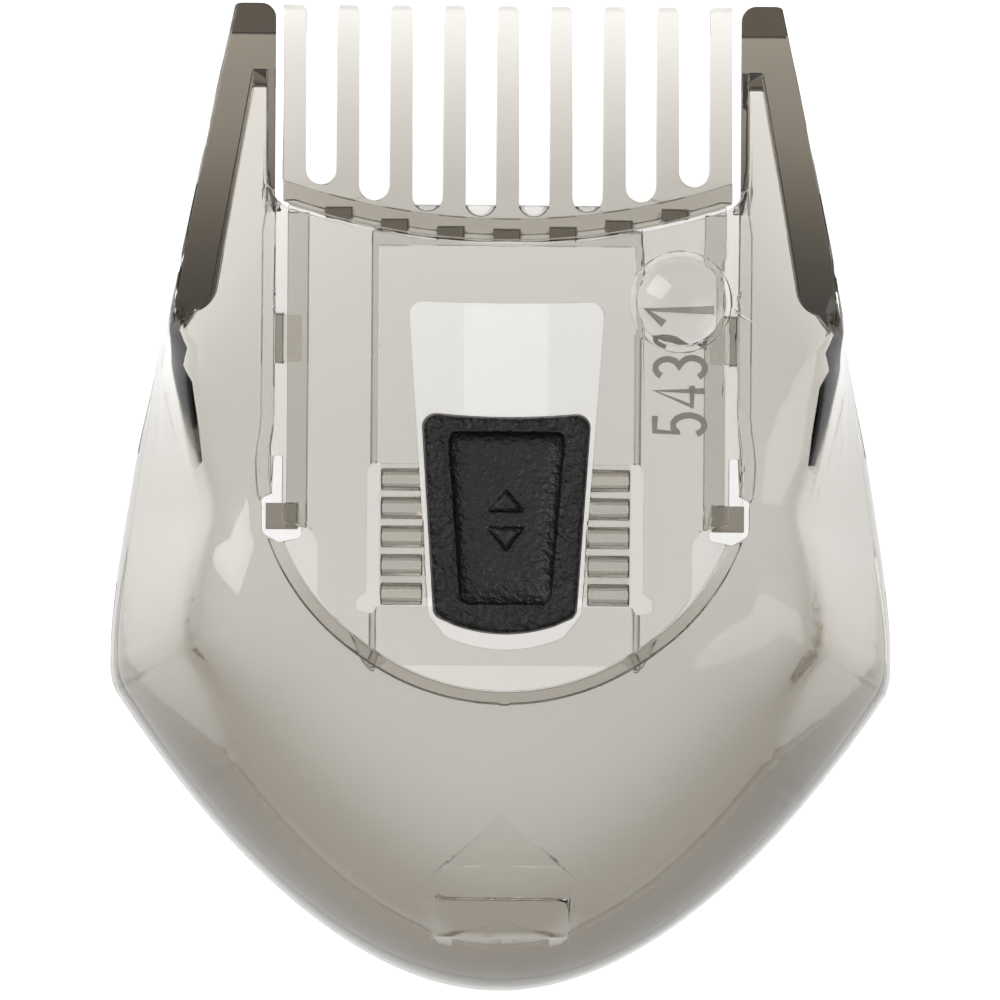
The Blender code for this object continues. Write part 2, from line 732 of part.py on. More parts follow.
def number_lens(parts, made_of):
    """A turned disc with a domed front, from a profile that runs down its outer side."""
    foot = PLATE_TOP - LENS_SEAT_DEEP + 0.25
    band = 0.5
    dome_half = LENS_RADIUS - 0.15
    sphere = (dome_half**2 + LENS_RISE**2) / (2 * LENS_RISE)
    top = foot + band + LENS_RISE
    rings = 7
    profile = []
    for k in range(rings + 1):
        radius = dome_half * k / rings
        profile.append((radius, top - sphere + math.sqrt(sphere**2 - radius**2)))
    profile += [(LENS_RADIUS, foot + band - 0.05), (LENS_RADIUS, foot), (0.0, foot)]
    bm = bmesh.new()
    rim = [bm.verts.new((r * MM, 0, (z - foot) * MM)) for r, z in profile]
    for first, second in zip(rim, rim[1:]):
        bm.edges.new((first, second))
    mesh = bpy.data.meshes.new("number_lens")
    bm.to_mesh(mesh)
    bm.free()
    lens = add_object("number_lens", mesh, parts, made_of)
    turned = lens.modifiers.new("turned", "SCREW")
    turned.steps = turned.render_steps = 32
    turned.use_merge_vertices = True
    turned.merge_threshold = 1e-5
    turned.use_smooth_shade = True
    lens.location = (LENS_X * MM, LENS_Y * MM, foot * MM)
    return lens


# ---------------------------------------------------------------- assembly


def main():
    clear_scene()
    parts = new_collection("clipper_guard_comb")
    cutters = new_collection("cutters")
    smoke = plastic("smoked_plastic", (0.55, 0.53, 0.47), 0.08, clear=0.9)
    clear = plastic("clear_plastic", (0.62, 0.60, 0.54), 0.05, clear=0.9)
    black = plastic("black_plastic", (0.02, 0.02, 0.02), 0.5)
    pivot = (0.0, TONGUE_ROOT_Y + GAP / 2, CHANNEL_FLOOR - CHANNEL_THICK / 2)
    guard_hood(parts, cutters, smoke)
    slider = comb_slider(parts, cutters, smoke)
    tongue = latch_tongue(parts, cutters, smoke, pivot)
    button = thumb_button(parts, cutters, black, pivot)
    number_lens(parts, clear)
    for rider, carrier in ((tongue, slider), (button, tongue)):
        bpy.context.view_layer.update()
        rider.parent = carrier
        rider.matrix_parent_inverse = carrier.matrix_world.inverted()
    bpy.context.view_layer.update()


main()
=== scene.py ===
"""Clipper guard comb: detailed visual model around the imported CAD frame.

A smoked transparent hood lies on its open back on a white table. Behind its front plate slides a
nine-tooth comb, held by a sprung tongue with a black thumb button, and a lens enlarges the setting
number. X is the width, +Y points to the tooth tips and +Z out of the front plate. Lengths are in
millimetres and MM turns them into Blender's metres.
"""

import math

import bmesh
import bpy
from mathutils import Matrix, Vector


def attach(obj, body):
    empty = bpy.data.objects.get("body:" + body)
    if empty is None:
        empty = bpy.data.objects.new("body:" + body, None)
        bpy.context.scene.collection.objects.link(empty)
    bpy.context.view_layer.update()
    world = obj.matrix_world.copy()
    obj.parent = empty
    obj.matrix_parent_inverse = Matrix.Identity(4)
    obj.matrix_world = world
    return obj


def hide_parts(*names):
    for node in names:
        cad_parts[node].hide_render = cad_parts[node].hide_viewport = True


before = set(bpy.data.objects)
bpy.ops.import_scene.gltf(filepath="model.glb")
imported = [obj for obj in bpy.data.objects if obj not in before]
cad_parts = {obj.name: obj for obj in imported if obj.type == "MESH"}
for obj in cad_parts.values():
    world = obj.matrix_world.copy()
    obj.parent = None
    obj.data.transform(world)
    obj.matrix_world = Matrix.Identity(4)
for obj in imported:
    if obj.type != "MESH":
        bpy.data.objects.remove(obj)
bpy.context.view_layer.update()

MM = 0.001

# Height ranges of the cuts that go right through a piece
HOOD_THROUGH = (-1.0, 20.0)
PLATE_THROUGH = (10.0, 20.0)
NOTCH_THROUGH = (12.0, 20.0)
COMB_THROUGH = (0.0, 20.0)
TONGUE_THROUGH = (5.0, 20.0)

# Outline of the hood seen from the front, on its right half; the PULL points bend its curves
TIP_Y = 32.8
BOTTOM_Y = -32.8
ARM_TIP_X = 18.45
ARM_LEAN = 0.1975
ARM_INNER_X = 15.4
SIDE_PULL = (26.3, -4.0)
SHOULDER = (26.07, -10.7)
SHOULDER_PULL = (26.15, -12.0)
LOWER_START = (25.75, -12.9)
LOWER_PULLS = (23.9, -15.6), (12.9, BOTTOM_Y)

# Sections along the outline and points along each section
SIDE_STEPS, LOWER_STEPS = 44, 44
POCKET_STEPS, LEAF_STEPS = 6, 10
FLAT_STEPS, WALL_STEPS = 8, 16

# Heights and thicknesses of the hood
PLATE_TOP = 15.0
PLATE_THICK = 0.8
HOOD_CROWN = 16.8
WALL = 1.7
SIDE_WALL = 1.1
BOWL_RIM = 2.5
SIDE_FACE_THICK = 1.5
HOLLOW_REACH = 2.5

# Where the side turns into the bowl, as a turn round the plate in degrees
CROWN_TURN = (0.0, 50.0)
BOWL_TURN = (8.0, 50.0)

# Edge between the front face and the side wall, and the soft ramp beside it
EDGE_ROUND = 1.2
CREASE_Y = 8.9
CREASE_ARM_Y = 12.0
CREASE_INSET = 1.2
CREASE_ARM_INSET = 0.35
CREASE_LOW_INSET = 5.5
CREASE_LOW_RUN = 10.5
RAMP_WIDE = 4.8
RAMP_WIDE_Y = (2.0, 15.9)
RAMP_DROP = 2.0
RAMP_DROP_Y = (9.5, 15.9)
RAMP_CURVE = 1.7
FLAT_LEAST = 0.9

# Arms: a solid outer rib with a round lower end, and a pocket that closes before the tip
ARM_TOP_FALL = 1.2
ARM_TOP_Y = (18.0, 34.0)
ARM_RIM_RISE = 5.0
ARM_RIM_Y = (8.0, 30.0)
ARM_UNDER = 9.3
ARM_UNDER_Y = (3.0, 25.0)
ARM_UNDER_LOW_Y = 3.6
ARM_CAP_Y = 30.7
ARM_SPAN = (14.0, 26.0)
ARM_START_Y = (17.5, 19.5)
TIP_CORNER = 1.0
LEAF_X, LEAF_Y, LEAF_LEAN = 20.0, 10.7, 0.17
LEAF_END_Y = 12.3
LEAF_END_ROUND = 1.6
LEAF_END_T = (0.291, 0.319)
POCKET_DEEP = 4.0
POCKET_LOW_Y = 27.2
POCKET_END_Y = 28.5
POCKET_T = (0.0603, 0.0792)

# Direction mark moulded on the bowl
MARK_APEX_Y, MARK_BASE_Y, MARK_HALF = -20.6, -24.3, 4.0
BAR_HIGH_Y, BAR_LOW_Y, BAR_HALF = -26.4, -29.1, 4.5
MARK_HIGH = 0.12
MARK_SLOPE = 0.16
MARK_ROOT = 0.4
MARK_STEPS = 10

# The U-shaped step round the front plate; U_TURN is in degrees
U_CENTRE_Y = 2.5
U_SIDE_RADIUS = 15.7
U_LOW_RADIUS = 15.2
U_TURN = (15.0, 60.0)
U_TO_ARM = 3.0
STEP_WALL = 0.8
ARM_WALL = 0.55

# Window in the front plate
WINDOW_TOP_Y = 13.0
WINDOW_TOP_HALF = 6.5
WINDOW_LOW_Y = -7.6
WINDOW_LOW_HALF = 5.05
WINDOW_BOTTOM_Y = -9.9
WINDOW_CORNER = 0.9
WINDOW_LOOPS = (-0.5, 0.05, 1.0)

# Front edge of the plate
PLATE_FRONT_Y = 16.9
PLATE_FRONT_SAG = 2.5
PLATE_FRONT_HALF = 15.0
PLATE_OVERLAP = 0.45

# Settings, and the ladder of detent ridges under the plate
STEPS = 4
PITCH = 1.89
NOTCH_LOW_Y = -5.3
LADDER_IN = 5.5
LADDER_OUT = 8.2
LADDER_DEEP = 0.75
RIDGE_FOOT = 0.75
RIDGE_CREST = 0.28

# L-shaped ledges behind the slider's rails
LEDGE_Y = (9.0, 12.2)
LEDGE_WEB = 0.5
LEDGE_THICK = 0.55

# Comb slider
GAP = 0.3
SLIDER_TOP = PLATE_TOP - PLATE_THICK - GAP
SLIDER_THICK = 0.6
SLIDER_HALF = 14.5
SLIDER_LOW_HALF = 12.4
SLIDER_BOTTOM_Y = -11.3
RAIL_IN = 13.15
RAIL_DEEP = 1.8
RAIL_LOW_Y = -1.9
FOOT_X = (13.7, 15.85)
FOOT_Y = (-2.05, -0.3)
FOOT_Z = (8.0, 12.9)
CHANNEL_HALF = 8.5
CHANNEL_FLOOR = SLIDER_TOP - 1.0
CHANNEL_THICK = 0.6
GROOVE_HALF = 2.75
GROOVE_HIGH_Y = 12.8
GROOVE_DEEP = 0.3
GROOVE_SLOPE = 0.28

# Comb teeth and the wall that they grow from
TEETH = 9
TOOTH_PITCH = 3.53
TOOTH_WIDTH = 1.5
TOOTH_LOW = 9.6
TOOTH_ROOT_LOW = 11.5
TOOTH_ROOT_TOP = 13.9
TOOTH_TIP_TOP = 10.8
TOOTH_TIP_BEVEL = 0.4
GAP_END_MID_Y = 18.7
GAP_END_SIDE_Y = 20.8
ROOT_WALL = 1.4
ROOT_WALL_LOW = 12.1
POSTS = 7
POST_PITCH = 3.71
POST_WIDTH = 1.75
POST_LOW = 6.5
POST_FRONT, POST_BACK = 0.05, 0.75

# Latch tongue
TONGUE_HALF = 8.3
TONGUE_ROOT_Y = 2.35
TONGUE_END_Y = -6.5
SLOT_HALF = 9.15
SLOT_END_Y = -7.1
PAWL_HIGH = 0.45
PAWL_HALF = 0.35
LEG_HOLE_X = (2.0, 3.6)
LEG_HOLE_Y = (-4.9, -2.3)

# Thumb button
BUTTON_TOP_Y = 5.8
BUTTON_LOW_Y = -7.7
BUTTON_BOTTOM_Y = -8.9
BUTTON_TOP_HALF = 5.65
BUTTON_LOW_HALF = 4.75
BUTTON_UNDER = PLATE_TOP + GAP
BUTTON_TOP = 17.5
BUTTON_EDGE = 0.4
BUTTON_EDGE_STEPS = 6
DISH_DEEP = 1.0
DISH_TOP_Y, DISH_LOW_Y = 4.5, -6.9
DISH_TOP_HALF, DISH_LOW_HALF = 3.9, 3.0
DISH_CORNER = 0.7
DISH_TOP_REACH, DISH_LOW_REACH = 0.9, 3.2
DISH_FLOOR = BUTTON_TOP - DISH_DEEP
ARROWS = ("arrow_up", 0.76, -0.8), ("arrow_down", -3.45, -1.75)
ARROW_HALF = 1.35
STEM_X, STEM_Y = (-3.7, 3.7), (-5.6, 1.7)
LEG_X, LEG_Y = (2.3, 3.3), (-4.6, -2.6)
HOOK_X, HOOK_Y = (2.8, 4.0), (-4.55, -2.65)
LEG_UNDER = CHANNEL_FLOOR - CHANNEL_THICK - GAP

# Number lens
LENS_X, LENS_Y = 11.5, 13.2
LENS_SEAT_RADIUS = 3.35
LENS_RADIUS = 3.0
LENS_BORE_RADIUS = 2.5
LENS_SEAT_DEEP = 0.5
LENS_BAND = 0.5
LENS_RISE = 1.3
LENS_RINGS, LENS_AROUND = 24, 96

# Printed setting numbers
DIGIT_HIGH = 3.3
DIGIT_WIDE = 1.35
DIGIT_STROKE = 0.42
DIGIT_FLATNESS = 0.08
DIGIT_LIFT = 0.03
DIGIT_X = 11.5
DIGIT_FIRST_Y = 12.65

# Camera, with angles in degrees and its distance in metres, and the white light from above
CAMERA_YAW = -1.0
CAMERA_ROLL = 0.45
CAMERA_DISTANCE = 1.5
CAMERA_AIM = (-0.16, 0.0, 3.0)
FRAME_SIZE = 66.67
SENSOR_WIDTH = 36.0
HORIZON_LIGHT = 0.06
ZENITH_LIGHT = 1.0
SKY_RISE = (0.15, 0.9)

# Table: its side and the reach of its glow in metres
TABLE_SIDE = 1.6
TABLE_DROP = 0.02
TABLE_BRIGHT = 0.62
TABLE_REACH = (0.05, 0.11)


# ---------------------------------------------------------------- helpers


def add_object(name, mesh, made_of=None):
    item = bpy.data.objects.new(name, mesh)
    bpy.context.scene.collection.objects.link(item)
    if made_of:
        mesh.materials.append(made_of)
    return item


def mesh_from(bm, name):
    bmesh.ops.recalc_face_normals(bm, faces=bm.faces)
    mesh = bpy.data.meshes.new(name)
    bm.to_mesh(mesh)
    bm.free()
    return mesh


def box(name, x, y, z):
    """A box from (low, high) pairs along each axis."""
    bm = bmesh.new()
    bmesh.ops.create_cube(bm, size=1.0)
    bmesh.ops.scale(bm, vec=[(p[1] - p[0]) * MM for p in (x, y, z)], verts=bm.verts)
    bmesh.ops.translate(bm, vec=[(p[1] + p[0]) / 2 * MM for p in (x, y, z)], verts=bm.verts)
    return add_object(name, mesh_from(bm, name))


def loft(name, sections):
    """Skins closed sections of equal point count and caps the first and the last."""
    bm = bmesh.new()
    rings = [[bm.verts.new(Vector(p) * MM) for p in section] for section in sections]
    for first, second in zip(rings, rings[1:]):
        for k in range(len(first)):
            n = (k + 1) % len(first)
            bm.faces.new((first[k], first[n], second[n], second[k]))
    bm.faces.new(rings[0])
    bm.faces.new(list(reversed(rings[-1])))
    return add_object(name, mesh_from(bm, name))


def stack(name, levels):
    """Skins outlines of equal point count at rising heights: (outline, z) pairs."""
    return loft(name, [[(x, y, z) for x, y in outline] for outline, z in levels])


def extruded(name, outline, z):
    return stack(name, [(outline, z[0]), (outline, z[1])])


def cylinder(name, x, y, radius, z, segments=96):
    ring = [(x + radius * math.cos(math.tau * k / segments),
             y + radius * math.sin(math.tau * k / segments)) for k in range(segments)]
    return extruded(name, ring, z)


def on_side(side, low, high):
    """The range from low to high to the right (side 1) or its mirror image (side -1)."""
    return sorted((side * low, side * high))


def rounded(corners, steps=6):
    """The outline through corners (x, y, radius), each corner an arc of its radius."""
    points = []
    count = len(corners)
    for i, (x, y, radius) in enumerate(corners):
        here = Vector((x, y))
        before = (Vector(corners[i - 1][:2]) - here).normalized()
        after = (Vector(corners[(i + 1) % count][:2]) - here).normalized()
        if radius <= 0:
            points.append((x, y))
            continue
        half_angle = before.angle(after) / 2
        reach = radius / math.tan(half_angle)
        start, end = here + before * reach, here + after * reach
        middle = here + (before + after).normalized() * (radius / math.sin(half_angle))
        first = math.atan2(*(start - middle).yx)
        turn = math.remainder(math.atan2(*(end - middle).yx) - first, math.tau)
        for k in range(steps + 1):
            angle = first + turn * k / steps
            points.append((middle.x + radius * math.cos(angle),
                           middle.y + radius * math.sin(angle)))
    return points


def mirrored(half):
    """A half outline at +X, from its top to its bottom, closed by its mirror image."""
    return half + [(-x, y) for x, y in reversed(half) if abs(x) > 1e-6]


def bow(half, side_y, mid_y, steps):
    """Corners along a shallow arc, from +half to -half, for rounded()."""
    return [(x, mid_y + (side_y - mid_y) * (x / half) ** 2, 0)
            for x in (between(half, -half, k / steps) for k in range(steps + 1))]


def clamp(value):
    return min(max(value, 0.0), 1.0)


def smoothstep(low, high, value):
    t = clamp((value - low) / (high - low))
    return t * t * (3 - 2 * t)


def quarter_rise(distance, reach):
    """Rises from 0 to 1 over the reach like the side of an ellipse."""
    return math.sqrt(1 - (1 - clamp(distance / reach)) ** 2)


def smooth_min(a, b, blend):
    near = max(blend - abs(a - b), 0.0) / blend
    return min(a, b) - near * near * blend / 4


def between(a, b, t):
    return a + (b - a) * t


def boolean(item, other, operation):
    step = item.modifiers.new(other.name, "BOOLEAN")
    step.operation = operation
    step.solver = "EXACT"
    step.object = other


def cut(item, other):
    boolean(item, other, "DIFFERENCE")


def join(item, other):
    boolean(item, other, "UNION")


def settle(item):
    """Applies the Booleans and removes the bodies they used."""
    bpy.context.view_layer.update()
    graph = bpy.context.evaluated_depsgraph_get()
    mesh = bpy.data.meshes.new_from_object(item.evaluated_get(graph))
    others = [step.object for step in item.modifiers if step.type == "BOOLEAN"]
    item.modifiers.clear()
    item.data = mesh
    for other in others:
        bpy.data.objects.remove(other, do_unlink=True)


def soften_edges(item, width, angle=32, segments=2):
    """Rounds the sharp edges a little, as a mould does, and shades the rest smooth."""
    bm = bmesh.new()
    bm.from_mesh(item.data)
    bmesh.ops.remove_doubles(bm, verts=bm.verts, dist=0.03 * MM)
    bmesh.ops.dissolve_degenerate(bm, edges=bm.edges, dist=0.01 * MM)
    bmesh.ops.triangulate(bm, faces=bm.faces)
    sharp = [e for e in bm.edges if len(e.link_faces) == 2
             and e.calc_face_angle(0.0) > math.radians(angle)]
    bmesh.ops.bevel(bm, geom=sharp, offset=width * MM, offset_type="OFFSET", segments=segments,
                    profile=0.5, affect="EDGES", clamp_overlap=False)
    bmesh.ops.triangulate(bm, faces=[f for f in bm.faces if len(f.verts) > 4])
    bm.to_mesh(item.data)
    bm.free()
    item.data.shade_smooth()
    item.data.set_sharp_from_angle(angle=math.radians(50))
    even = item.modifiers.new("even_normals", "WEIGHTED_NORMAL")
    even.keep_sharp = True
    even.weight = 60


def mould(item, edge_width, *materials):
    """Turns a body and its Booleans into the finished mesh in its materials."""
    settle(item)
    item.data.materials.clear()
    for made_of in materials:
        item.data.materials.append(made_of)
    soften_edges(item, edge_width)


# ---------------------------------------------------------------- materials


def new_material(name):
    made = bpy.data.materials.new(name)
    made.use_nodes = True
    return made, made.node_tree, made.node_tree.nodes["Principled BSDF"]


def add_node(tree, kind, **inputs):
    node = tree.nodes.new(kind)
    for name, value in inputs.items():
        node.inputs[name.replace("_", " ")].default_value = value
    return node


def noise(tree, scale, detail=4.0, stretch=(1.0, 1.0, 1.0)):
    """Noise on the piece's own coordinates; scale is in features per metre."""
    place = tree.nodes.new("ShaderNodeTexCoord")
    mapping = tree.nodes.new("ShaderNodeMapping")
    mapping.inputs["Scale"].default_value = stretch
    texture = add_node(tree, "ShaderNodeTexNoise", Scale=scale, Detail=detail)
    tree.links.new(place.outputs["Object"], mapping.inputs["Vector"])
    tree.links.new(mapping.outputs["Vector"], texture.inputs["Vector"])
    return texture


def spread(tree, source, low, high):
    """Maps a noise value of about 0.3 to 0.7 onto the range from low to high."""
    node = tree.nodes.new("ShaderNodeMapRange")
    node.inputs["From Min"].default_value = 0.3
    node.inputs["From Max"].default_value = 0.7
    node.inputs["To Min"].default_value = low
    node.inputs["To Max"].default_value = high
    tree.links.new(source, node.inputs["Value"])
    return node.outputs["Result"]


def bump(tree, shader, source, depth, strength):
    node = tree.nodes.new("ShaderNodeBump")
    node.inputs["Strength"].default_value = strength
    node.inputs["Distance"].default_value = depth * MM
    tree.links.new(source, node.inputs["Height"])
    tree.links.new(node.outputs["Normal"], shader.inputs["Normal"])


def colour_between(tree, factor, first, second):
    node = tree.nodes.new("ShaderNodeMix")
    node.data_type = "RGBA"
    node.inputs["A"].default_value = (*first, 1.0)
    node.inputs["B"].default_value = (*second, 1.0)
    tree.links.new(factor, node.inputs["Factor"])
    return node.outputs["Result"]


def smoked_plastic(name, density, colour, roughness):
    """Transparent moulded plastic whose smoke tint deepens with the thickness looked through."""
    made, tree, shader = new_material(name)
    shader.inputs["Base Color"].default_value = (1.0, 1.0, 1.0, 1.0)
    shader.inputs["Transmission Weight"].default_value = 1.0
    shader.inputs["IOR"].default_value = 1.53
    polish = noise(tree, 260.0, 5.0)
    tree.links.new(spread(tree, polish.outputs["Fac"], *roughness), shader.inputs["Roughness"])
    ripple = noise(tree, 340.0, 2.0, (1.0, 0.45, 1.0))
    bump(tree, shader, ripple.outputs["Fac"], 0.02, 0.35)
    tint = tree.nodes.new("ShaderNodeVolumeAbsorption")
    tint.inputs["Color"].default_value = (*colour, 1.0)
    tint.inputs["Density"].default_value = density
    tree.links.new(tint.outputs["Volume"], tree.nodes["Material Output"].inputs["Volume"])
    return made


def grained_black(name, grain, roughness):
    """Black plastic with a fine moulded grain."""
    made, tree, shader = new_material(name)
    tone = noise(tree, 900.0, 3.0)
    colour = colour_between(tree, tone.outputs["Fac"], (0.002, 0.002, 0.0019), (0.008, 0.008, 0.007))
    tree.links.new(colour, shader.inputs["Base Color"])
    shader.inputs["Specular IOR Level"].default_value = 0.36
    shade = noise(tree, 1500.0, 4.0)
    tree.links.new(spread(tree, shade.outputs["Fac"], *roughness), shader.inputs["Roughness"])
    texture = noise(tree, 2300.0, 3.0)
    bump(tree, shader, texture.outputs["Fac"], grain, 0.9)
    return made


def printed_ink(name):
    """Grey ink, a little uneven in tone and gloss."""
    made, tree, shader = new_material(name)
    speck = noise(tree, 4000.0, 3.0)
    colour = colour_between(tree, speck.outputs["Fac"], (0.5, 0.48, 0.43), (0.58, 0.56, 0.5))
    tree.links.new(colour, shader.inputs["Base Color"])
    tree.links.new(spread(tree, speck.outputs["Fac"], 0.45, 0.65), shader.inputs["Roughness"])
    return made


def table_glow(tree):
    """Strength of the table's glow: full under the object and nothing past its reach."""
    place = tree.nodes.new("ShaderNodeTexCoord")
    reach = tree.nodes.new("ShaderNodeVectorMath")
    reach.operation = "LENGTH"
    fade = tree.nodes.new("ShaderNodeMapRange")
    fade.interpolation_type = "SMOOTHSTEP"
    fade.inputs["From Min"].default_value, fade.inputs["From Max"].default_value = TABLE_REACH
    fade.inputs["To Min"].default_value = TABLE_BRIGHT
    fade.inputs["To Max"].default_value = 0.0
    tree.links.new(place.outputs["Object"], reach.inputs[0])
    tree.links.new(reach.outputs["Value"], fade.inputs["Value"])
    return fade.outputs["Result"]


def pale_table(name):
    """A table that glows white round the object and is a plain grey away from it."""
    made, tree, shader = new_material(name)
    fleck = noise(tree, 60.0, 4.0)
    tree.links.new(spread(tree, fleck.outputs["Fac"], 0.5, 0.6), shader.inputs["Roughness"])
    shader.inputs["Specular IOR Level"].default_value = 0.1
    shader.inputs["Emission Color"].default_value = (1.0, 1.0, 1.0, 1.0)
    glow = table_glow(tree)
    tree.links.new(glow, shader.inputs["Emission Strength"])
    share = tree.nodes.new("ShaderNodeMath")
    share.operation = "DIVIDE"
    share.inputs[1].default_value = TABLE_BRIGHT
    tree.links.new(glow, share.inputs[0])
    colour = colour_between(tree, share.outputs["Value"], (0.35, 0.35, 0.35), (0.92, 0.92, 0.92))
    tree.links.new(colour, shader.inputs["Base Color"])
    return made


# ---------------------------------------------------------------- hood surface


def quadratic(p, q, r, t):
    return [(1 - t) ** 2 * a + 2 * t * (1 - t) * b + t * t * c for a, b, c in zip(p, q, r)]


def cubic(p, q, r, s, t):
    weights = ((1 - t) ** 3, 3 * t * (1 - t) ** 2, 3 * t * t * (1 - t), t**3)
    return [sum(w * c for w, c in zip(weights, line)) for line in zip(p, q, r, s)]


def side_outline(t):
    """From the arm's tip (t=0) down to the shoulder (t=1)."""
    return quadratic((ARM_TIP_X, TIP_Y), SIDE_PULL, SHOULDER, t)


def lower_outline(t):
    """From below the shoulder (t=0) round to the middle of the bottom (t=1)."""
    return cubic(LOWER_START, *LOWER_PULLS, (0.0, BOTTOM_Y), t)


def outline_points():
    """Plan points of the hood's sections, closer together at the pocket's and the rib's ends."""
    along = [k / SIDE_STEPS for k in range(SIDE_STEPS + 1)]
    along += [between(*POCKET_T, k / POCKET_STEPS) for k in range(POCKET_STEPS + 1)]
    along += [between(*LEAF_END_T, k / LEAF_STEPS) for k in range(LEAF_STEPS + 1)]
    points = [side_outline(t) for t in sorted(along)]
    points += [quadratic(SHOULDER, SHOULDER_PULL, LOWER_START, t) for t in (0.33, 0.67)]
    points += [lower_outline(k / LOWER_STEPS) for k in range(LOWER_STEPS + 1)]
    return points


def arm_top(y):
    return PLATE_TOP - ARM_TOP_FALL * smoothstep(*ARM_TOP_Y, y)


def rim_height(y):
    return ARM_RIM_RISE * smoothstep(*ARM_RIM_Y, y)


def crease_inset(y):
    """How far the edge at the top of the side wall lies inside the outline."""
    if y > CREASE_Y:
        return between(CREASE_INSET, CREASE_ARM_INSET, smoothstep(CREASE_Y, CREASE_ARM_Y, y))
    return between(CREASE_INSET, CREASE_LOW_INSET, min((CREASE_Y - y) / CREASE_LOW_RUN, 1.0))


def ramp_width(y):
    """Width of the soft ramp between the front face and the edge of the side wall."""
    return between(RAMP_WIDE, 0.0, smoothstep(*RAMP_WIDE_Y, y))


def u_radius(turn):
    """Radius of the step round the plate, a little less at the bottom; turn is in degrees."""
    return between(U_SIDE_RADIUS, U_LOW_RADIUS, smoothstep(*U_TURN, turn))


def leaf_inset(y):
    """Width of the solid outer rib of the arm, which has a round lower end."""
    outline_x = ARM_TIP_X + (TIP_Y - y) * ARM_LEAN
    rib = outline_x - (LEAF_X - (y - LEAF_Y) * LEAF_LEAN)
    return between(SIDE_WALL, rib, quarter_rise(y - LEAF_END_Y, LEAF_END_ROUND))


class Station:
    """One cross-section of the hood, running outwards from the plate's edge to the rim."""

    def __init__(self, x, y):
        turn = math.degrees(max(math.atan2(U_CENTRE_Y - y, x), 0.0))
        if y >= U_CENTRE_Y:
            self.foot = Vector((0.0, y))
            self.ray = Vector((1.0, 0.0))
            step = smoothstep(U_CENTRE_Y, U_CENTRE_Y + U_TO_ARM, y)
            self.inner = between(U_SIDE_RADIUS, ARM_INNER_X, step)
        else:
            self.foot = Vector((0.0, U_CENTRE_Y))
            self.ray = Vector((x, y - U_CENTRE_Y)).normalized()
            self.inner = u_radius(turn)
        self.outer = (Vector((x, y)) - self.foot).length
        self.rim = rim_height(y)
        self.y = y
        self.crown = between(arm_top(y), HOOD_CROWN, smoothstep(*CROWN_TURN, turn))
        self.bowl = smoothstep(*BOWL_TURN, turn)
        self.crease = self.outer - crease_inset(y)
        self.flat_end = max(self.crease - ramp_width(y), self.inner + FLAT_LEAST)
        self.drop = RAMP_DROP * (1 - smoothstep(*RAMP_DROP_Y, y))

    def height(self, radius, thick=0.0, inset=0.0):
        """Height of the outer skin, or of the inner one when a thickness is given."""
        top = self.crown - thick
        outer = self.outer - inset
        down = max(radius - self.flat_end, 0.0) / max(self.crease - self.flat_end, 0.1)
        ramp = top - self.drop * down**RAMP_CURVE
        slope = (self.crown - self.drop - self.rim) / (self.outer - self.crease)
        wall = self.rim + slope * (outer - radius)
        side = smooth_min(ramp, wall, EDGE_ROUND)
        t = clamp((radius - self.inner) / (outer - self.inner))
        bowl = self.rim + (top - self.rim) * math.sqrt(1 - t * t)
        return between(side, bowl, self.bowl)

    def radii(self, start, end):
        """Distances along the section, closer together down the wall."""
        knee = between(min(self.crease, end - 0.6), between(start, end, 0.55), self.bowl)
        knee = max(knee, start + 0.3)
        flat = [between(start, knee, k / FLAT_STEPS) for k in range(FLAT_STEPS)]
        wall = [between(knee, end, math.sin(math.pi / 2 * k / WALL_STEPS))
                for k in range(WALL_STEPS + 1)]
        return flat + wall

    def at(self, radius, z):
        place = self.foot + self.ray * radius
        return (place.x, place.y, z)


def outer_section(station):
    """The hood's skin above the level of its rim."""
    radii = station.radii(station.inner, station.outer)
    skin = [station.at(r, station.height(r)) for r in radii[:-1]]
    skin.append(station.at(station.outer, station.rim))
    return [station.at(station.inner, station.rim)] + skin


def inner_section(station):
    """The space behind the hood's skin; it leaves the step wall and the plate standing."""
    pocket = POCKET_DEEP * clamp((station.y - POCKET_LOW_Y) / (POCKET_END_Y - POCKET_LOW_Y))
    thick = between(SIDE_FACE_THICK + pocket, WALL, station.bowl)
    inset = between(leaf_inset(station.y), BOWL_RIM, station.bowl)
    arm = smoothstep(*ARM_START_Y, station.y)
    start = station.inner + between(STEP_WALL, ARM_WALL, arm)
    edge = between(station.inner - HOLLOW_REACH, start - 0.02, arm)
    end = station.outer - inset
    radii = station.radii(start, end)
    skin = [station.at(r, station.height(r, thick, inset)) for r in radii[:-1]]
    skin.append(station.at(end, station.rim))
    ceiling = min(PLATE_TOP - PLATE_THICK - 0.05, skin[0][2] - 0.1)
    low = HOOD_THROUGH[0]
    opening = [station.at(edge, low), station.at(edge, ceiling), station.at(start, ceiling)]
    return opening + skin + [station.at(end, low)]


def round_the_hood(points, section):
    """Sections from the right arm, round the bottom, to the left arm."""
    right = [section(Station(x, y)) for x, y in points]
    left = [[(-x, y, z) for x, y, z in ring] for ring in reversed(right[:-1])]
    return right + left


# ---------------------------------------------------------------- hood


def plate_front(x):
    return PLATE_FRONT_Y + PLATE_FRONT_SAG * (x / PLATE_FRONT_HALF) ** 2


def arc_between(x_from, x_to, steps, shift):
    return [(x, plate_front(x) + shift)
            for x in (between(x_from, x_to, k / steps) for k in range(steps + 1))]


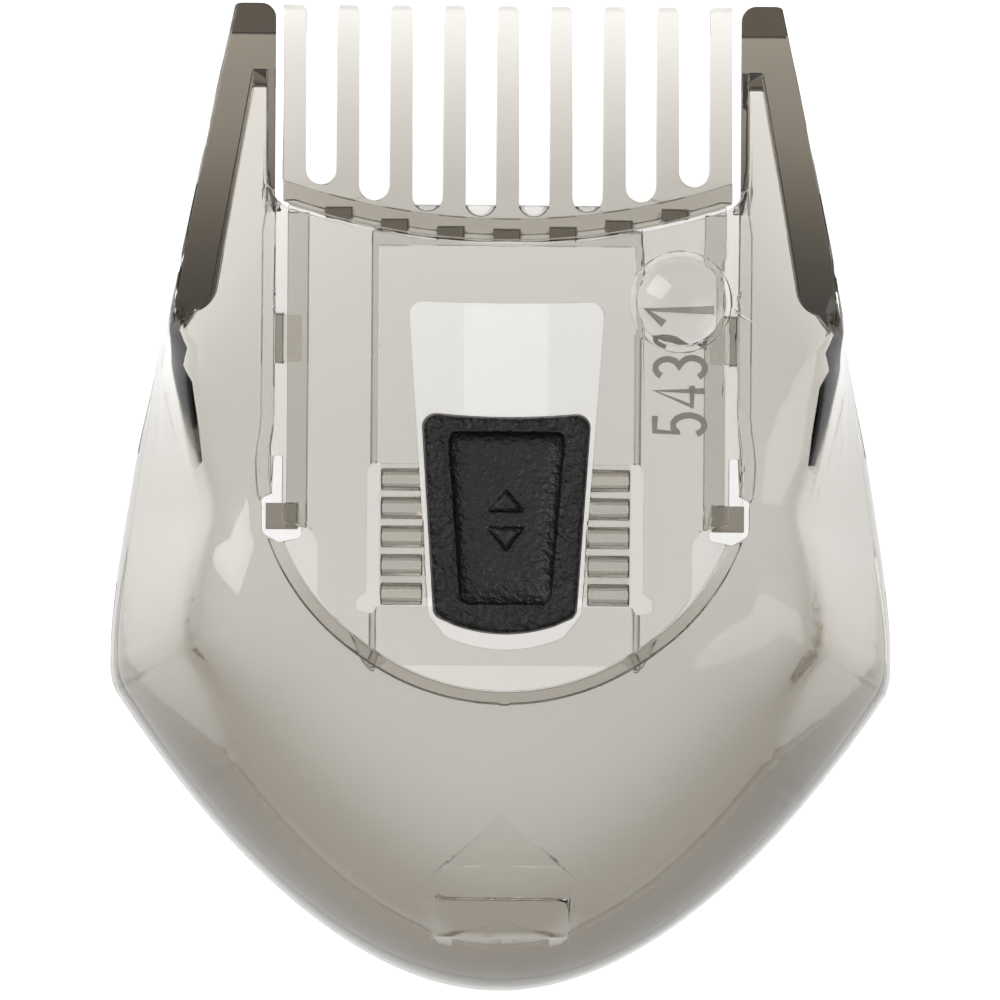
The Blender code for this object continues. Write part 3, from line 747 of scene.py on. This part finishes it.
def plate_outline():
    """Front plate: a shallow arc at the top, straight sides and a round bottom."""
    half = U_SIDE_RADIUS + PLATE_OVERLAP
    front = arc_between(0.0, 14.6, 14, 0.0)
    corner_y = plate_front(PLATE_FRONT_HALF)
    corner = [(14.95, corner_y + 0.08), (15.25, corner_y + 0.35),
              (15.5, corner_y + 0.75), (15.6, corner_y + 1.1), (half, GAP_END_SIDE_Y)]
    round_steps = 36
    below = []
    for k in range(round_steps + 1):
        turn = 90.0 * k / round_steps
        radius = u_radius(turn) + PLATE_OVERLAP
        below.append((radius * math.cos(math.radians(turn)),
                      U_CENTRE_Y - radius * math.sin(math.radians(turn))))
    below[-1] = (0.0, below[-1][1])
    return mirrored(front + corner + below)


def window_outline():
    """The tapered window, with shallow arcs at both ends."""
    top = [(x, y, 0) for x, y, _ in reversed(bow(5.0, WINDOW_TOP_Y + 0.08, WINDOW_TOP_Y, 6))]
    low = bow(3.9, WINDOW_BOTTOM_Y + 0.85, WINDOW_BOTTOM_Y, 18)
    return rounded([(-WINDOW_TOP_HALF, WINDOW_TOP_Y + 0.15, WINDOW_CORNER)] + top
                   + [(WINDOW_TOP_HALF, WINDOW_TOP_Y + 0.15, WINDOW_CORNER),
                      (WINDOW_LOW_HALF, WINDOW_LOW_Y, WINDOW_CORNER)] + low
                   + [(-WINDOW_LOW_HALF, WINDOW_LOW_Y, WINDOW_CORNER)], 8)


def foot_notch_outline(side):
    """Opening in the plate's edge beside each foot of the slider."""
    corners = rounded([(14.8, 2.8, 0.1), (15.35, 2.8, 0.1), (15.45, 0.3, 0.1), (16.15, 0.0, 0.3),
                       (16.1, -2.3, 0.5), (15.0, -2.9, 0.3), (13.5, -2.6, 0.3),
                       (13.5, -1.8, 0.1), (14.8, -1.5, 0.1)], 4)
    return [(side * x, y) for x, y in corners]


def ladder_ridge(name, side, middle):
    """A detent ridge with sloping flanks, hanging under the plate."""
    under = PLATE_TOP - PLATE_THICK
    half = [(RIDGE_CREST, under - LADDER_DEEP), (RIDGE_FOOT, under), (RIDGE_FOOT + 0.01, under + 0.4)]
    profile = [(middle - reach, z) for reach, z in reversed(half)]
    profile += [(middle + reach, z) for reach, z in half]
    ends = (side * LADDER_IN, side * LADDER_OUT)
    return loft(name, [[(x, y, z) for y, z in profile] for x in ends])


def ladder_ridges(hood):
    for side in (-1, 1):
        for k in range(STEPS + 1):
            middle = NOTCH_LOW_Y + (k - 0.5) * PITCH
            join(hood, ladder_ridge(f"ladder_ridge_{side}_{k}", side, middle))


def guide_ledges(hood):
    """L-shaped ledges behind the slider's rails, above the reach of its feet."""
    lip_top = SLIDER_TOP - RAIL_DEEP - GAP
    lip_y = (LEDGE_Y[0] + 0.05, LEDGE_Y[1] - 0.05)
    web_in = SLIDER_HALF + GAP
    for side in (-1, 1):
        join(hood, box(f"guide_web_{side}", on_side(side, web_in, web_in + LEDGE_WEB), LEDGE_Y,
                       (lip_top - LEDGE_THICK - 0.05, PLATE_TOP - 0.5)))
        join(hood, box(f"guide_lip_{side}", on_side(side, RAIL_IN + 0.4, web_in + 0.3), lip_y,
                       (lip_top - LEDGE_THICK, lip_top)))


def arm_underside_profile():
    """Side view, (y, z), of the space under an arm: the arm gets shallower towards its tip."""
    low, steps = HOOD_THROUGH[0], 16
    rise = [(y, ARM_UNDER * smoothstep(*ARM_UNDER_Y, y))
            for y in (between(ARM_UNDER_Y[1], ARM_UNDER_LOW_Y, k / steps) for k in range(steps + 1))]
    return [(ARM_CAP_Y, low), (ARM_CAP_Y, ARM_UNDER)] + rise + [(ARM_UNDER_LOW_Y, low)]


def tip_corner_outline(side, inner):
    """What is cut from a square corner of the arm's tip to round it."""
    low_y = TIP_Y - TIP_CORNER
    if inner:
        middle_x, start, beyond = ARM_INNER_X + TIP_CORNER, math.pi, ARM_INNER_X - 0.6
    else:
        middle_x = ARM_TIP_X + TIP_CORNER * (ARM_LEAN - math.hypot(1.0, ARM_LEAN))
        start, beyond = math.atan(ARM_LEAN), ARM_TIP_X + 1.2
    arc = [(middle_x + TIP_CORNER * math.cos(a), low_y + TIP_CORNER * math.sin(a))
           for a in (between(start, math.pi / 2, k / 8) for k in range(8 + 1))]
    outline = arc + [(middle_x, TIP_Y + 0.6), (beyond, TIP_Y + 0.6), (beyond, arc[0][1])]
    return [(side * x, y) for x, y in outline]


def shape_arms(hood):
    profile = arm_underside_profile()
    for side in (-1, 1):
        sections = [[(side * x, y, z) for y, z in profile] for x in ARM_SPAN]
        cut(hood, loft(f"arm_underside_{side}", sections))
        for inner in (True, False):
            outline = tip_corner_outline(side, inner)
            cut(hood, extruded(f"tip_corner_{side}_{inner}", outline, HOOD_THROUGH))


def direction_mark():
    """A plain triangle over a bar, moulded on the bowl and pointing to the teeth."""
    triangle = [(-MARK_HALF, MARK_BASE_Y), (MARK_HALF, MARK_BASE_Y), (0.0, MARK_APEX_Y)]
    bar = [(-BAR_HALF, BAR_LOW_Y), (BAR_HALF, BAR_LOW_Y), (BAR_HALF, BAR_HIGH_Y), (-BAR_HALF, BAR_HIGH_Y)]
    return ("direction_triangle", triangle), ("direction_bar", bar)


def bowl_height(x, y):
    """Height of the bowl's outer skin above a point of the plan."""
    place = Vector((x, y - U_CENTRE_Y))
    ray = place.normalized()
    side = 1 if x >= 0 else -1

    def turned_away(point):
        return -ray.dot(Vector((side * point[0], point[1] - U_CENTRE_Y)).normalized())

    return Station(*min(outline_points(), key=turned_away)).height(place.length)


def raised_mark(name, outline):
    """A low raised area with sloping edges that follows the bowl's surface."""
    count = len(outline)
    middle = Vector((sum(p[0] for p in outline) / count, sum(p[1] for p in outline) / count))
    edge = []
    for start, end in zip(outline, outline[1:] + outline[:1]):
        edge += [Vector(start).lerp(Vector(end), k / MARK_STEPS) for k in range(MARK_STEPS)]
    bm = bmesh.new()

    def vertex(x, y, lift):
        return bm.verts.new((x * MM, y * MM, (bowl_height(x, y) + lift) * MM))

    rings = []
    for grow, lift in ((0.0, -MARK_ROOT), (0.0, 0.0), (-MARK_SLOPE, MARK_HIGH)):
        rings.append([vertex(*(p + (p - middle).normalized() * grow), lift) for p in edge])
    for share in (0.66, 0.33):
        rings.append([vertex(*middle.lerp(p, share), MARK_HIGH) for p in edge])
    for first, second in zip(rings, rings[1:]):
        for k in range(len(edge)):
            n = (k + 1) % len(edge)
            bm.faces.new((first[k], first[n], second[n], second[k]))
    top = vertex(*middle, MARK_HIGH)
    low = vertex(*middle, -0.6)
    for k in range(len(edge)):
        n = (k + 1) % len(edge)
        bm.faces.new((rings[-1][k], rings[-1][n], top))
        bm.faces.new((rings[0][n], rings[0][k], low))
    return add_object(name, mesh_from(bm, name))


def cut_openings(hood):
    """The window, the lens's seat and bore, and the notches beside the slider's feet."""
    cut(hood, extruded("window", window_outline(), PLATE_THROUGH))
    # A second cut of the same outline leaves an edge loop part way down the window's wall
    loops = [(window_outline(), PLATE_TOP + rise) for rise in WINDOW_LOOPS]
    cut(hood, stack("window_edge_loop", loops))
    seat = (PLATE_TOP - LENS_SEAT_DEEP, PLATE_THROUGH[1])
    cut(hood, cylinder("lens_seat", LENS_X, LENS_Y, LENS_SEAT_RADIUS, seat))
    cut(hood, cylinder("lens_bore", LENS_X, LENS_Y, LENS_BORE_RADIUS, PLATE_THROUGH))
    for side in (-1, 1):
        cut(hood, extruded(f"foot_notch_{side}", foot_notch_outline(side), NOTCH_THROUGH))


def guard_hood(made_of):
    points = outline_points()
    hood = loft("hood_shell", round_the_hood(points, outer_section))
    hollow_points = [p for p in points if p[1] < POCKET_END_Y]
    cut(hood, loft("hood_hollow", round_the_hood(hollow_points, inner_section)))
    join(hood, extruded("plate", plate_outline(), (PLATE_TOP - PLATE_THICK, PLATE_TOP - 0.03)))
    ladder_ridges(hood)
    guide_ledges(hood)
    shape_arms(hood)
    cut_openings(hood)
    for name, outline in direction_mark():
        join(hood, raised_mark(name, outline))
    mould(hood, 0.1, made_of)
    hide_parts("guard_hood")
    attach(hood, "hood")


# ---------------------------------------------------------------- comb slider


def teeth_profile():
    """Side view of a tooth, (y, z): deep at the root, thin and rounded at the tip."""
    tip = TOOTH_TIP_TOP - TOOTH_LOW
    arc = [(TIP_Y - tip / 2 + tip / 2 * math.cos(a), TOOTH_LOW + tip / 2 + tip / 2 * math.sin(a))
           for a in (math.radians(d) for d in range(-90, 91, 15))]
    root_y = PLATE_FRONT_Y + GAP + 0.4
    root = [(GAP_END_SIDE_Y, TOOTH_ROOT_TOP), (root_y, TOOTH_ROOT_TOP)]
    return [(root_y, TOOTH_ROOT_LOW), (GAP_END_SIDE_Y, TOOTH_ROOT_LOW)] + arc + root


def teeth_block():
    """One block across all the teeth; the gaps are cut from it."""
    profile = teeth_profile()
    half = ((TEETH - 1) * TOOTH_PITCH + TOOTH_WIDTH) / 2
    return loft("comb_body", [[(x, y, z) for y, z in profile] for x in (-half, half)])


def gap_outline(index):
    """Plan of the gap to the right of tooth number index: parallel sides, a round end."""
    x = (index - (TEETH - 2) / 2) * TOOTH_PITCH
    radius = (TOOTH_PITCH - TOOTH_WIDTH) / 2
    end = between(GAP_END_MID_Y, GAP_END_SIDE_Y, (x / (3.5 * TOOTH_PITCH)) ** 2)
    arc = [(x + radius * math.cos(a), end + radius + radius * math.sin(a))
           for a in (math.radians(d) for d in range(180, 361, 10))]
    flare = radius + 0.22
    bevel_y = TIP_Y - TOOTH_TIP_BEVEL
    left = [(x - flare, TIP_Y + 1), (x - flare, TIP_Y + 0.05), (x - radius, bevel_y)]
    right = [(x + radius, bevel_y), (x + flare, TIP_Y + 0.05), (x + flare, TIP_Y + 1)]
    return left + arc + right


def root_wall_outline():
    half = SLIDER_HALF + 0.35
    return arc_between(-half, half, 40, GAP) + arc_between(half, -half, 40, GAP + ROOT_WALL)


def add_posts(slider):
    for k in range(POSTS):
        x = (k - (POSTS - 1) / 2) * POST_PITCH
        y = plate_front(x) + GAP
        join(slider, box(f"spacer_post_{k}", (x - POST_WIDTH / 2, x + POST_WIDTH / 2),
                         (y + POST_FRONT, y + POST_BACK), (POST_LOW, ROOT_WALL_LOW + 0.5)))


def slider_plate_outline():
    low_half = SLIDER_LOW_HALF
    side = [(SLIDER_HALF, PLATE_FRONT_Y + 2.6), (SLIDER_HALF, -1.6), (low_half + 0.6, -2.0),
            (low_half, -2.8), (low_half, -6.4), (low_half - 3.6, SLIDER_BOTTOM_Y)]
    return mirrored(side)


def tongue_slot_outline():
    """The opening that frees the tongue, with small feet at its lower corners."""
    right = rounded([(8.6, TONGUE_ROOT_Y + GAP, 0.1), (SLOT_HALF, 1.9, 0.2), (SLOT_HALF, -6.2, 0.3),
                     (9.8, -6.6, 0.2), (9.8, -7.4, 0.2), (8.7, -7.6, 0.3), (8.5, SLOT_END_Y, 0.1)], 4)
    return mirrored(right)


def groove_outline(grow):
    """Groove down the middle of the channel, from the tongue's root towards the teeth."""
    half, high_y = GROOVE_HALF + grow, GROOVE_HIGH_Y + grow
    return [(-half, TONGUE_ROOT_Y), (half, TONGUE_ROOT_Y), (half, high_y), (-half, high_y)]


def add_slider_plate(slider):
    """The plate behind the hood's front plate, with its channel floor, side rails and feet."""
    join(slider, extruded("slider_plate", slider_plate_outline(),
                          (SLIDER_TOP - SLIDER_THICK, SLIDER_TOP)))
    join(slider, box("channel_floor", (-CHANNEL_HALF - 0.4, CHANNEL_HALF + 0.4),
                     (SLIDER_BOTTOM_Y + 0.3, PLATE_FRONT_Y + 0.9),
                     (CHANNEL_FLOOR - CHANNEL_THICK, CHANNEL_FLOOR + 0.6)))
    for side in (-1, 1):
        join(slider, box(f"rail_{side}", on_side(side, RAIL_IN, SLIDER_HALF - 0.02),
                         (RAIL_LOW_Y, PLATE_FRONT_Y + 2.0),
                         (SLIDER_TOP - RAIL_DEEP, SLIDER_TOP - 0.02)))
        join(slider, box(f"foot_{side}", on_side(side, *FOOT_X), FOOT_Y, FOOT_Z))


def cut_channel(slider):
    """The sunken channel, the slot round the tongue and the sloped groove."""
    cut(slider, box("channel", (-CHANNEL_HALF, CHANNEL_HALF), (SLIDER_BOTTOM_Y - 1, PLATE_FRONT_Y - 0.1),
                    (CHANNEL_FLOOR, PLATE_TOP + 1)))
    cut(slider, extruded("tongue_slot", tongue_slot_outline(), TONGUE_THROUGH))
    cut(slider, stack("centre_groove", [(groove_outline(0.0), CHANNEL_FLOOR - GROOVE_DEEP),
                                        (groove_outline(GROOVE_SLOPE), CHANNEL_FLOOR + 0.02),
                                        (groove_outline(GROOVE_SLOPE), CHANNEL_FLOOR + 1)]))


def comb_slider(made_of):
    slider = teeth_block()
    for index in range(TEETH - 1):
        cut(slider, extruded(f"tooth_gap_{index}", gap_outline(index), COMB_THROUGH))
    behind = arc_between(16.0, -16.0, 40, GAP + 0.4) + [(-16.0, 10.0), (16.0, 10.0)]
    cut(slider, extruded("behind_root", behind, COMB_THROUGH))
    join(slider, extruded("root_wall", root_wall_outline(), (ROOT_WALL_LOW, PLATE_TOP)))
    add_posts(slider)
    add_slider_plate(slider)
    cut_channel(slider)
    mould(slider, 0.08, made_of)
    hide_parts("comb_slider")
    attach(slider, "comb")


# ---------------------------------------------------------------- latch tongue and button


def latch_tongue(made_of):
    outline = rounded([(-TONGUE_HALF, TONGUE_ROOT_Y, 0.15), (-TONGUE_HALF, TONGUE_END_Y, 0.3),
                       (TONGUE_HALF, TONGUE_END_Y, 0.3), (TONGUE_HALF, TONGUE_ROOT_Y, 0.15)], 5)
    tongue = extruded("tongue_leaf", outline, (CHANNEL_FLOOR - CHANNEL_THICK, CHANNEL_FLOOR))
    for side in (-1, 1):
        join(tongue, box(f"pawl_{side}", on_side(side, LADDER_IN + 0.1, LADDER_OUT - 0.1),
                         (NOTCH_LOW_Y - PAWL_HALF, NOTCH_LOW_Y + PAWL_HALF),
                         (CHANNEL_FLOOR - 0.4, CHANNEL_FLOOR + PAWL_HIGH)))
        cut(tongue, box(f"leg_hole_{side}", on_side(side, *LEG_HOLE_X), LEG_HOLE_Y, TONGUE_THROUGH))
    mould(tongue, 0.07, made_of)
    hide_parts("latch_tongue")
    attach(tongue, "latch")


def button_outline(grow=0.0):
    top = [(x, y + grow, 0) for x, y, _ in reversed(bow(4.3, BUTTON_TOP_Y - 0.1, BUTTON_TOP_Y - 0.3, 8))]
    low = [(x, y - grow, 0) for x, y, _ in bow(3.3, BUTTON_BOTTOM_Y + 0.55, BUTTON_BOTTOM_Y, 16)]
    return rounded([(-BUTTON_TOP_HALF - grow, BUTTON_TOP_Y + grow, 0.9)] + top
                   + [(BUTTON_TOP_HALF + grow, BUTTON_TOP_Y + grow, 0.9),
                      (BUTTON_LOW_HALF + grow, BUTTON_LOW_Y - grow, 0.8)] + low
                   + [(-BUTTON_LOW_HALF - grow, BUTTON_LOW_Y - grow, 0.8)], 8)


def thumb_dish():
    """The space of the thumb dish: steep at its top end, running out gently at its low end."""
    across, along = 16, 40
    sections = []
    for k in range(along + 1):
        y = between(DISH_TOP_Y, DISH_LOW_Y, 0.5 - 0.5 * math.cos(math.pi * k / along))
        from_top, from_low = DISH_TOP_Y - y + 0.01, y - DISH_LOW_Y + 0.01
        half = between(DISH_TOP_HALF, DISH_LOW_HALF, from_top / (DISH_TOP_Y - DISH_LOW_Y))
        half -= 0.6 * (2 - quarter_rise(from_top, DISH_CORNER) - quarter_rise(from_low, DISH_CORNER))
        deep = quarter_rise(from_top, DISH_TOP_REACH) * quarter_rise(from_low, DISH_LOW_REACH)
        floor = []
        for step in range(across + 1):
            u = math.sin(math.pi / 2 * between(-1, 1, step / across))
            sunk = DISH_DEEP * deep * (1 - abs(u) ** 5) ** 0.5
            floor.append((half * u, y, BUTTON_TOP - 0.02 - sunk))
        sections.append([(-half - 0.05, y, BUTTON_TOP + 0.5)] + floor
                        + [(half + 0.05, y, BUTTON_TOP + 0.5)])
    return loft("dish", sections)


def arrow_outline(apex_y, base_y, half, inset=0.0):
    """A triangle with round corners; inset narrows it towards its middle."""
    lean = 1 if apex_y > base_y else -1
    return rounded([(-half + 2 * inset, base_y + lean * inset, 0.1),
                    (half - 2 * inset, base_y + lean * inset, 0.1),
                    (0.0, apex_y - lean * 1.6 * inset, 0.1)], 3)


def button_cap():
    """The visible cap, with a rounded top edge."""
    levels = [(button_outline(-0.15), BUTTON_UNDER), (button_outline(0.0), BUTTON_UNDER + BUTTON_EDGE)]
    for k in range(BUTTON_EDGE_STEPS + 1):
        a = math.pi / 2 * k / BUTTON_EDGE_STEPS
        levels.append((button_outline(-0.1 - BUTTON_EDGE * (1 - math.cos(a))),
                       BUTTON_TOP - BUTTON_EDGE * (1 - math.sin(a))))
    return stack("button_cap", levels)


def add_arrows(button):
    for name, apex, base in ARROWS:
        join(button, stack(name, [(arrow_outline(apex, base, ARROW_HALF + 0.05), DISH_FLOOR - 0.1),
                                  (arrow_outline(apex, base, ARROW_HALF, 0.02), DISH_FLOOR + 0.02),
                                  (arrow_outline(apex, base, ARROW_HALF, 0.26), DISH_FLOOR + 0.34)]))


def add_snap_legs(button):
    """The stem on the tongue, and two legs with hooks through it."""
    join(button, box("stem", STEM_X, STEM_Y, (CHANNEL_FLOOR + GAP, BUTTON_UNDER + 0.4)))
    for side in (-1, 1):
        join(button, box(f"leg_{side}", on_side(side, *LEG_X), LEG_Y,
                         (LEG_UNDER - 0.8, CHANNEL_FLOOR + 0.6)))
        join(button, box(f"hook_{side}", on_side(side, *HOOK_X), HOOK_Y,
                         (LEG_UNDER - 0.75, LEG_UNDER)))


def line_dish(button):
    """Gives the faces inside the dish the button's second material."""
    for face in button.data.polygons:
        x, y, z = face.center / MM
        over_dish = abs(x) < DISH_TOP_HALF and DISH_LOW_Y < y < DISH_TOP_Y
        sunk = DISH_FLOOR - 0.1 < z < BUTTON_TOP - 0.06
        face.material_index = 1 if over_dish and sunk else 0


def thumb_button(made_of, dish_made_of):
    button = button_cap()
    cut(button, thumb_dish())
    add_arrows(button)
    add_snap_legs(button)
    mould(button, 0.08, made_of, dish_made_of)
    line_dish(button)
    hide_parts("thumb_button")
    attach(button, "latch")


# ---------------------------------------------------------------- number lens and numbers


def lens_profile(foot, dome_foot):
    """The lens's side, (radius, z), from near the top of the dome down to its foot."""
    dome_half = LENS_RADIUS - 0.15
    sphere = (dome_half**2 + LENS_RISE**2) / (2 * LENS_RISE)
    profile = []
    for k in range(1, LENS_RINGS + 1):
        radius = dome_half * k / LENS_RINGS
        profile.append((radius, dome_foot + LENS_RISE - sphere + math.sqrt(sphere**2 - radius**2)))
    profile += [(LENS_RADIUS - 0.05, dome_foot - 0.02), (LENS_RADIUS, dome_foot - 0.08),
                (LENS_RADIUS, foot + 0.05), (LENS_RADIUS - 0.05, foot)]
    return profile


def number_lens(made_of):
    """A disc with a domed front, turned from its profile."""
    foot = PLATE_TOP - LENS_SEAT_DEEP + 0.25
    dome_foot = foot + LENS_BAND
    bm = bmesh.new()
    summit = bm.verts.new((LENS_X * MM, LENS_Y * MM, (dome_foot + LENS_RISE) * MM))
    base = bm.verts.new((LENS_X * MM, LENS_Y * MM, foot * MM))
    rings = []
    for radius, z in lens_profile(foot, dome_foot):
        rings.append([bm.verts.new(((LENS_X + radius * math.cos(a)) * MM,
                                    (LENS_Y + radius * math.sin(a)) * MM, z * MM))
                      for a in (math.tau * k / LENS_AROUND for k in range(LENS_AROUND))])
    for k in range(LENS_AROUND):
        n = (k + 1) % LENS_AROUND
        bm.faces.new((summit, rings[0][k], rings[0][n]))
        bm.faces.new((base, rings[-1][n], rings[-1][k]))
        for first, second in zip(rings, rings[1:]):
            bm.faces.new((first[k], second[k], second[n], first[n]))
    lens = add_object("magnifier", mesh_from(bm, "magnifier"), made_of)
    lens.data.shade_smooth()
    lens.data.set_sharp_from_angle(angle=math.radians(28))
    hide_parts("number_lens")
    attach(lens, "hood")


def arc_points(cx, cy, rx, ry, first, last, steps=10):
    return [(cx + rx * math.cos(math.radians(a)), cy + ry * math.sin(math.radians(a)))
            for a in (between(first, last, k / steps) for k in range(steps + 1))]


def digit_strokes(digit):
    """Centre lines of a plain digit in a box one unit wide and one unit high."""
    if digit == 1:
        return [[(0.12, 0.74), (0.62, 1.0), (0.62, 0.0)]]
    if digit == 2:
        return [arc_points(0.5, 0.72, 0.46, 0.28, 165, -30) + [(0.04, 0.0), (1.0, 0.0)]]
    if digit == 3:
        upper = arc_points(0.46, 0.76, 0.44, 0.24, 150, -90)
        return [upper + arc_points(0.46, 0.26, 0.5, 0.26, 90, -150)]
    if digit == 4:
        return [[(0.74, 0.0), (0.74, 1.0), (0.0, 0.26), (1.0, 0.26)]]
    return [[(0.92, 1.0), (0.16, 1.0), (0.08, 0.54)] + arc_points(0.46, 0.32, 0.5, 0.32, 135, -150)]


def printed_digit(digit, x, y, made_of):
    """A flat printed digit whose top points to -X, so that it reads along +Y."""
    curve = bpy.data.curves.new(f"digit_{digit}", "CURVE")
    curve.dimensions = "3D"
    curve.bevel_depth = DIGIT_STROKE / 2 * MM
    curve.bevel_resolution = 3
    curve.use_fill_caps = True
    for stroke in digit_strokes(digit):
        spline = curve.splines.new("POLY")
        spline.points.add(len(stroke) - 1)
        for point, (u, v) in zip(spline.points, stroke):
            place = (x + (0.5 - v) * DIGIT_HIGH, y + (u - 0.5) * DIGIT_WIDE)
            point.co = (place[0] * MM, place[1] * MM, 0.0, 1.0)
    item = add_object(f"digit_{digit}_curve", curve)
    bpy.context.view_layer.update()
    graph = bpy.context.evaluated_depsgraph_get()
    mesh = bpy.data.meshes.new_from_object(item.evaluated_get(graph))
    bpy.data.objects.remove(item, do_unlink=True)
    mesh.transform(Matrix.Diagonal((1.0, 1.0, DIGIT_FLATNESS, 1.0)))
    mesh.transform(Matrix.Translation((0.0, 0.0, (SLIDER_TOP + DIGIT_LIFT) * MM)))
    mesh.materials.clear()
    mesh.materials.append(made_of)
    mesh.shade_smooth()
    printed = add_object(f"digit_{digit}", mesh)
    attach(printed, "comb")


def printed_numbers(made_of):
    for k in range(STEPS + 1):
        printed_digit(k + 1, DIGIT_X, DIGIT_FIRST_Y - k * PITCH, made_of)


# ---------------------------------------------------------------- floor, light and camera


def table_top(made_of):
    bpy.ops.mesh.primitive_plane_add(size=TABLE_SIDE, location=(0, 0, -TABLE_DROP * MM))
    floor = bpy.context.object
    floor.name = "table_top"
    floor.data.materials.append(made_of)


def soft_light(name, place, size, power):
    """A soft box aimed at the object; its place and size are in metres, its power in watts."""
    light = bpy.data.lights.new(name, "AREA")
    light.shape = "RECTANGLE"
    light.size, light.size_y = size
    light.energy = power
    item = bpy.data.objects.new(name, light)
    bpy.context.scene.collection.objects.link(item)
    item.location = place
    aim = Vector((0.0, 0.0, 8.0)) * MM
    item.rotation_euler = (aim - Vector(place)).to_track_quat("-Z", "Y").to_euler()


def surroundings():
    """White light from above that falls off towards the horizon."""
    world = bpy.data.worlds.new("studio")
    bpy.context.scene.world = world
    world.use_nodes = True
    tree = world.node_tree
    place = tree.nodes.new("ShaderNodeTexCoord")
    axes = tree.nodes.new("ShaderNodeSeparateXYZ")
    sky = tree.nodes.new("ShaderNodeMapRange")
    sky.interpolation_type = "SMOOTHSTEP"
    sky.inputs["From Min"].default_value, sky.inputs["From Max"].default_value = SKY_RISE
    sky.inputs["To Min"].default_value = HORIZON_LIGHT
    sky.inputs["To Max"].default_value = ZENITH_LIGHT
    tree.links.new(place.outputs["Generated"], axes.inputs["Vector"])
    tree.links.new(axes.outputs["Z"], sky.inputs["Value"])
    tree.links.new(sky.outputs["Result"], tree.nodes["Background"].inputs["Strength"])
    tree.nodes["Background"].inputs["Color"].default_value = (1.0, 1.0, 1.0, 1.0)


def camera():
    """A long lens above the front plate, a little off the vertical and turned about its axis."""
    data = bpy.data.cameras.new("camera")
    item = bpy.data.objects.new("camera", data)
    bpy.context.scene.collection.objects.link(item)
    yaw, roll = math.radians(CAMERA_YAW), math.radians(CAMERA_ROLL)
    aim = Vector(CAMERA_AIM) * MM
    back = Vector((math.sin(yaw), 0.0, math.cos(yaw)))
    item.location = aim + back * CAMERA_DISTANCE
    turn = Matrix.Rotation(yaw, 3, "Y") @ Matrix.Rotation(roll, 3, "Z")
    item.rotation_euler = turn.to_euler()
    data.sensor_width = SENSOR_WIDTH
    data.lens = SENSOR_WIDTH * CAMERA_DISTANCE / (FRAME_SIZE * MM)
    data.clip_start = 0.01
    bpy.context.scene.camera = item


# ---------------------------------------------------------------- assembly


camera()
surroundings()
soft_light("key_softbox", (-0.42, 0.3, 0.36), (0.4, 0.5), 2.0)
soft_light("fill_softbox", (0.45, -0.1, 0.45), (0.3, 0.5), 0.6)
bpy.context.scene.view_settings.view_transform = "Standard"

SMOKE_TINT = (0.34, 0.29, 0.19)
smoke = smoked_plastic("smoked_plastic_polished", 500.0, SMOKE_TINT, (0.015, 0.05))
pale_smoke = smoked_plastic("smoked_plastic_thin", 410.0, SMOKE_TINT, (0.015, 0.05))
clear = smoked_plastic("lens_plastic_polished", 260.0, (0.33, 0.28, 0.2), (0.005, 0.02))
black = grained_black("button_grained", 0.4, (0.3, 0.44))
satin = grained_black("button_dish_satin", 0.26, (0.3, 0.42))
ink = printed_ink("printed_numbers_ink")

guard_hood(smoke)
comb_slider(pale_smoke)
latch_tongue(pale_smoke)
thumb_button(black, satin)
number_lens(clear)
printed_numbers(ink)
table_top(pale_table("white_table"))
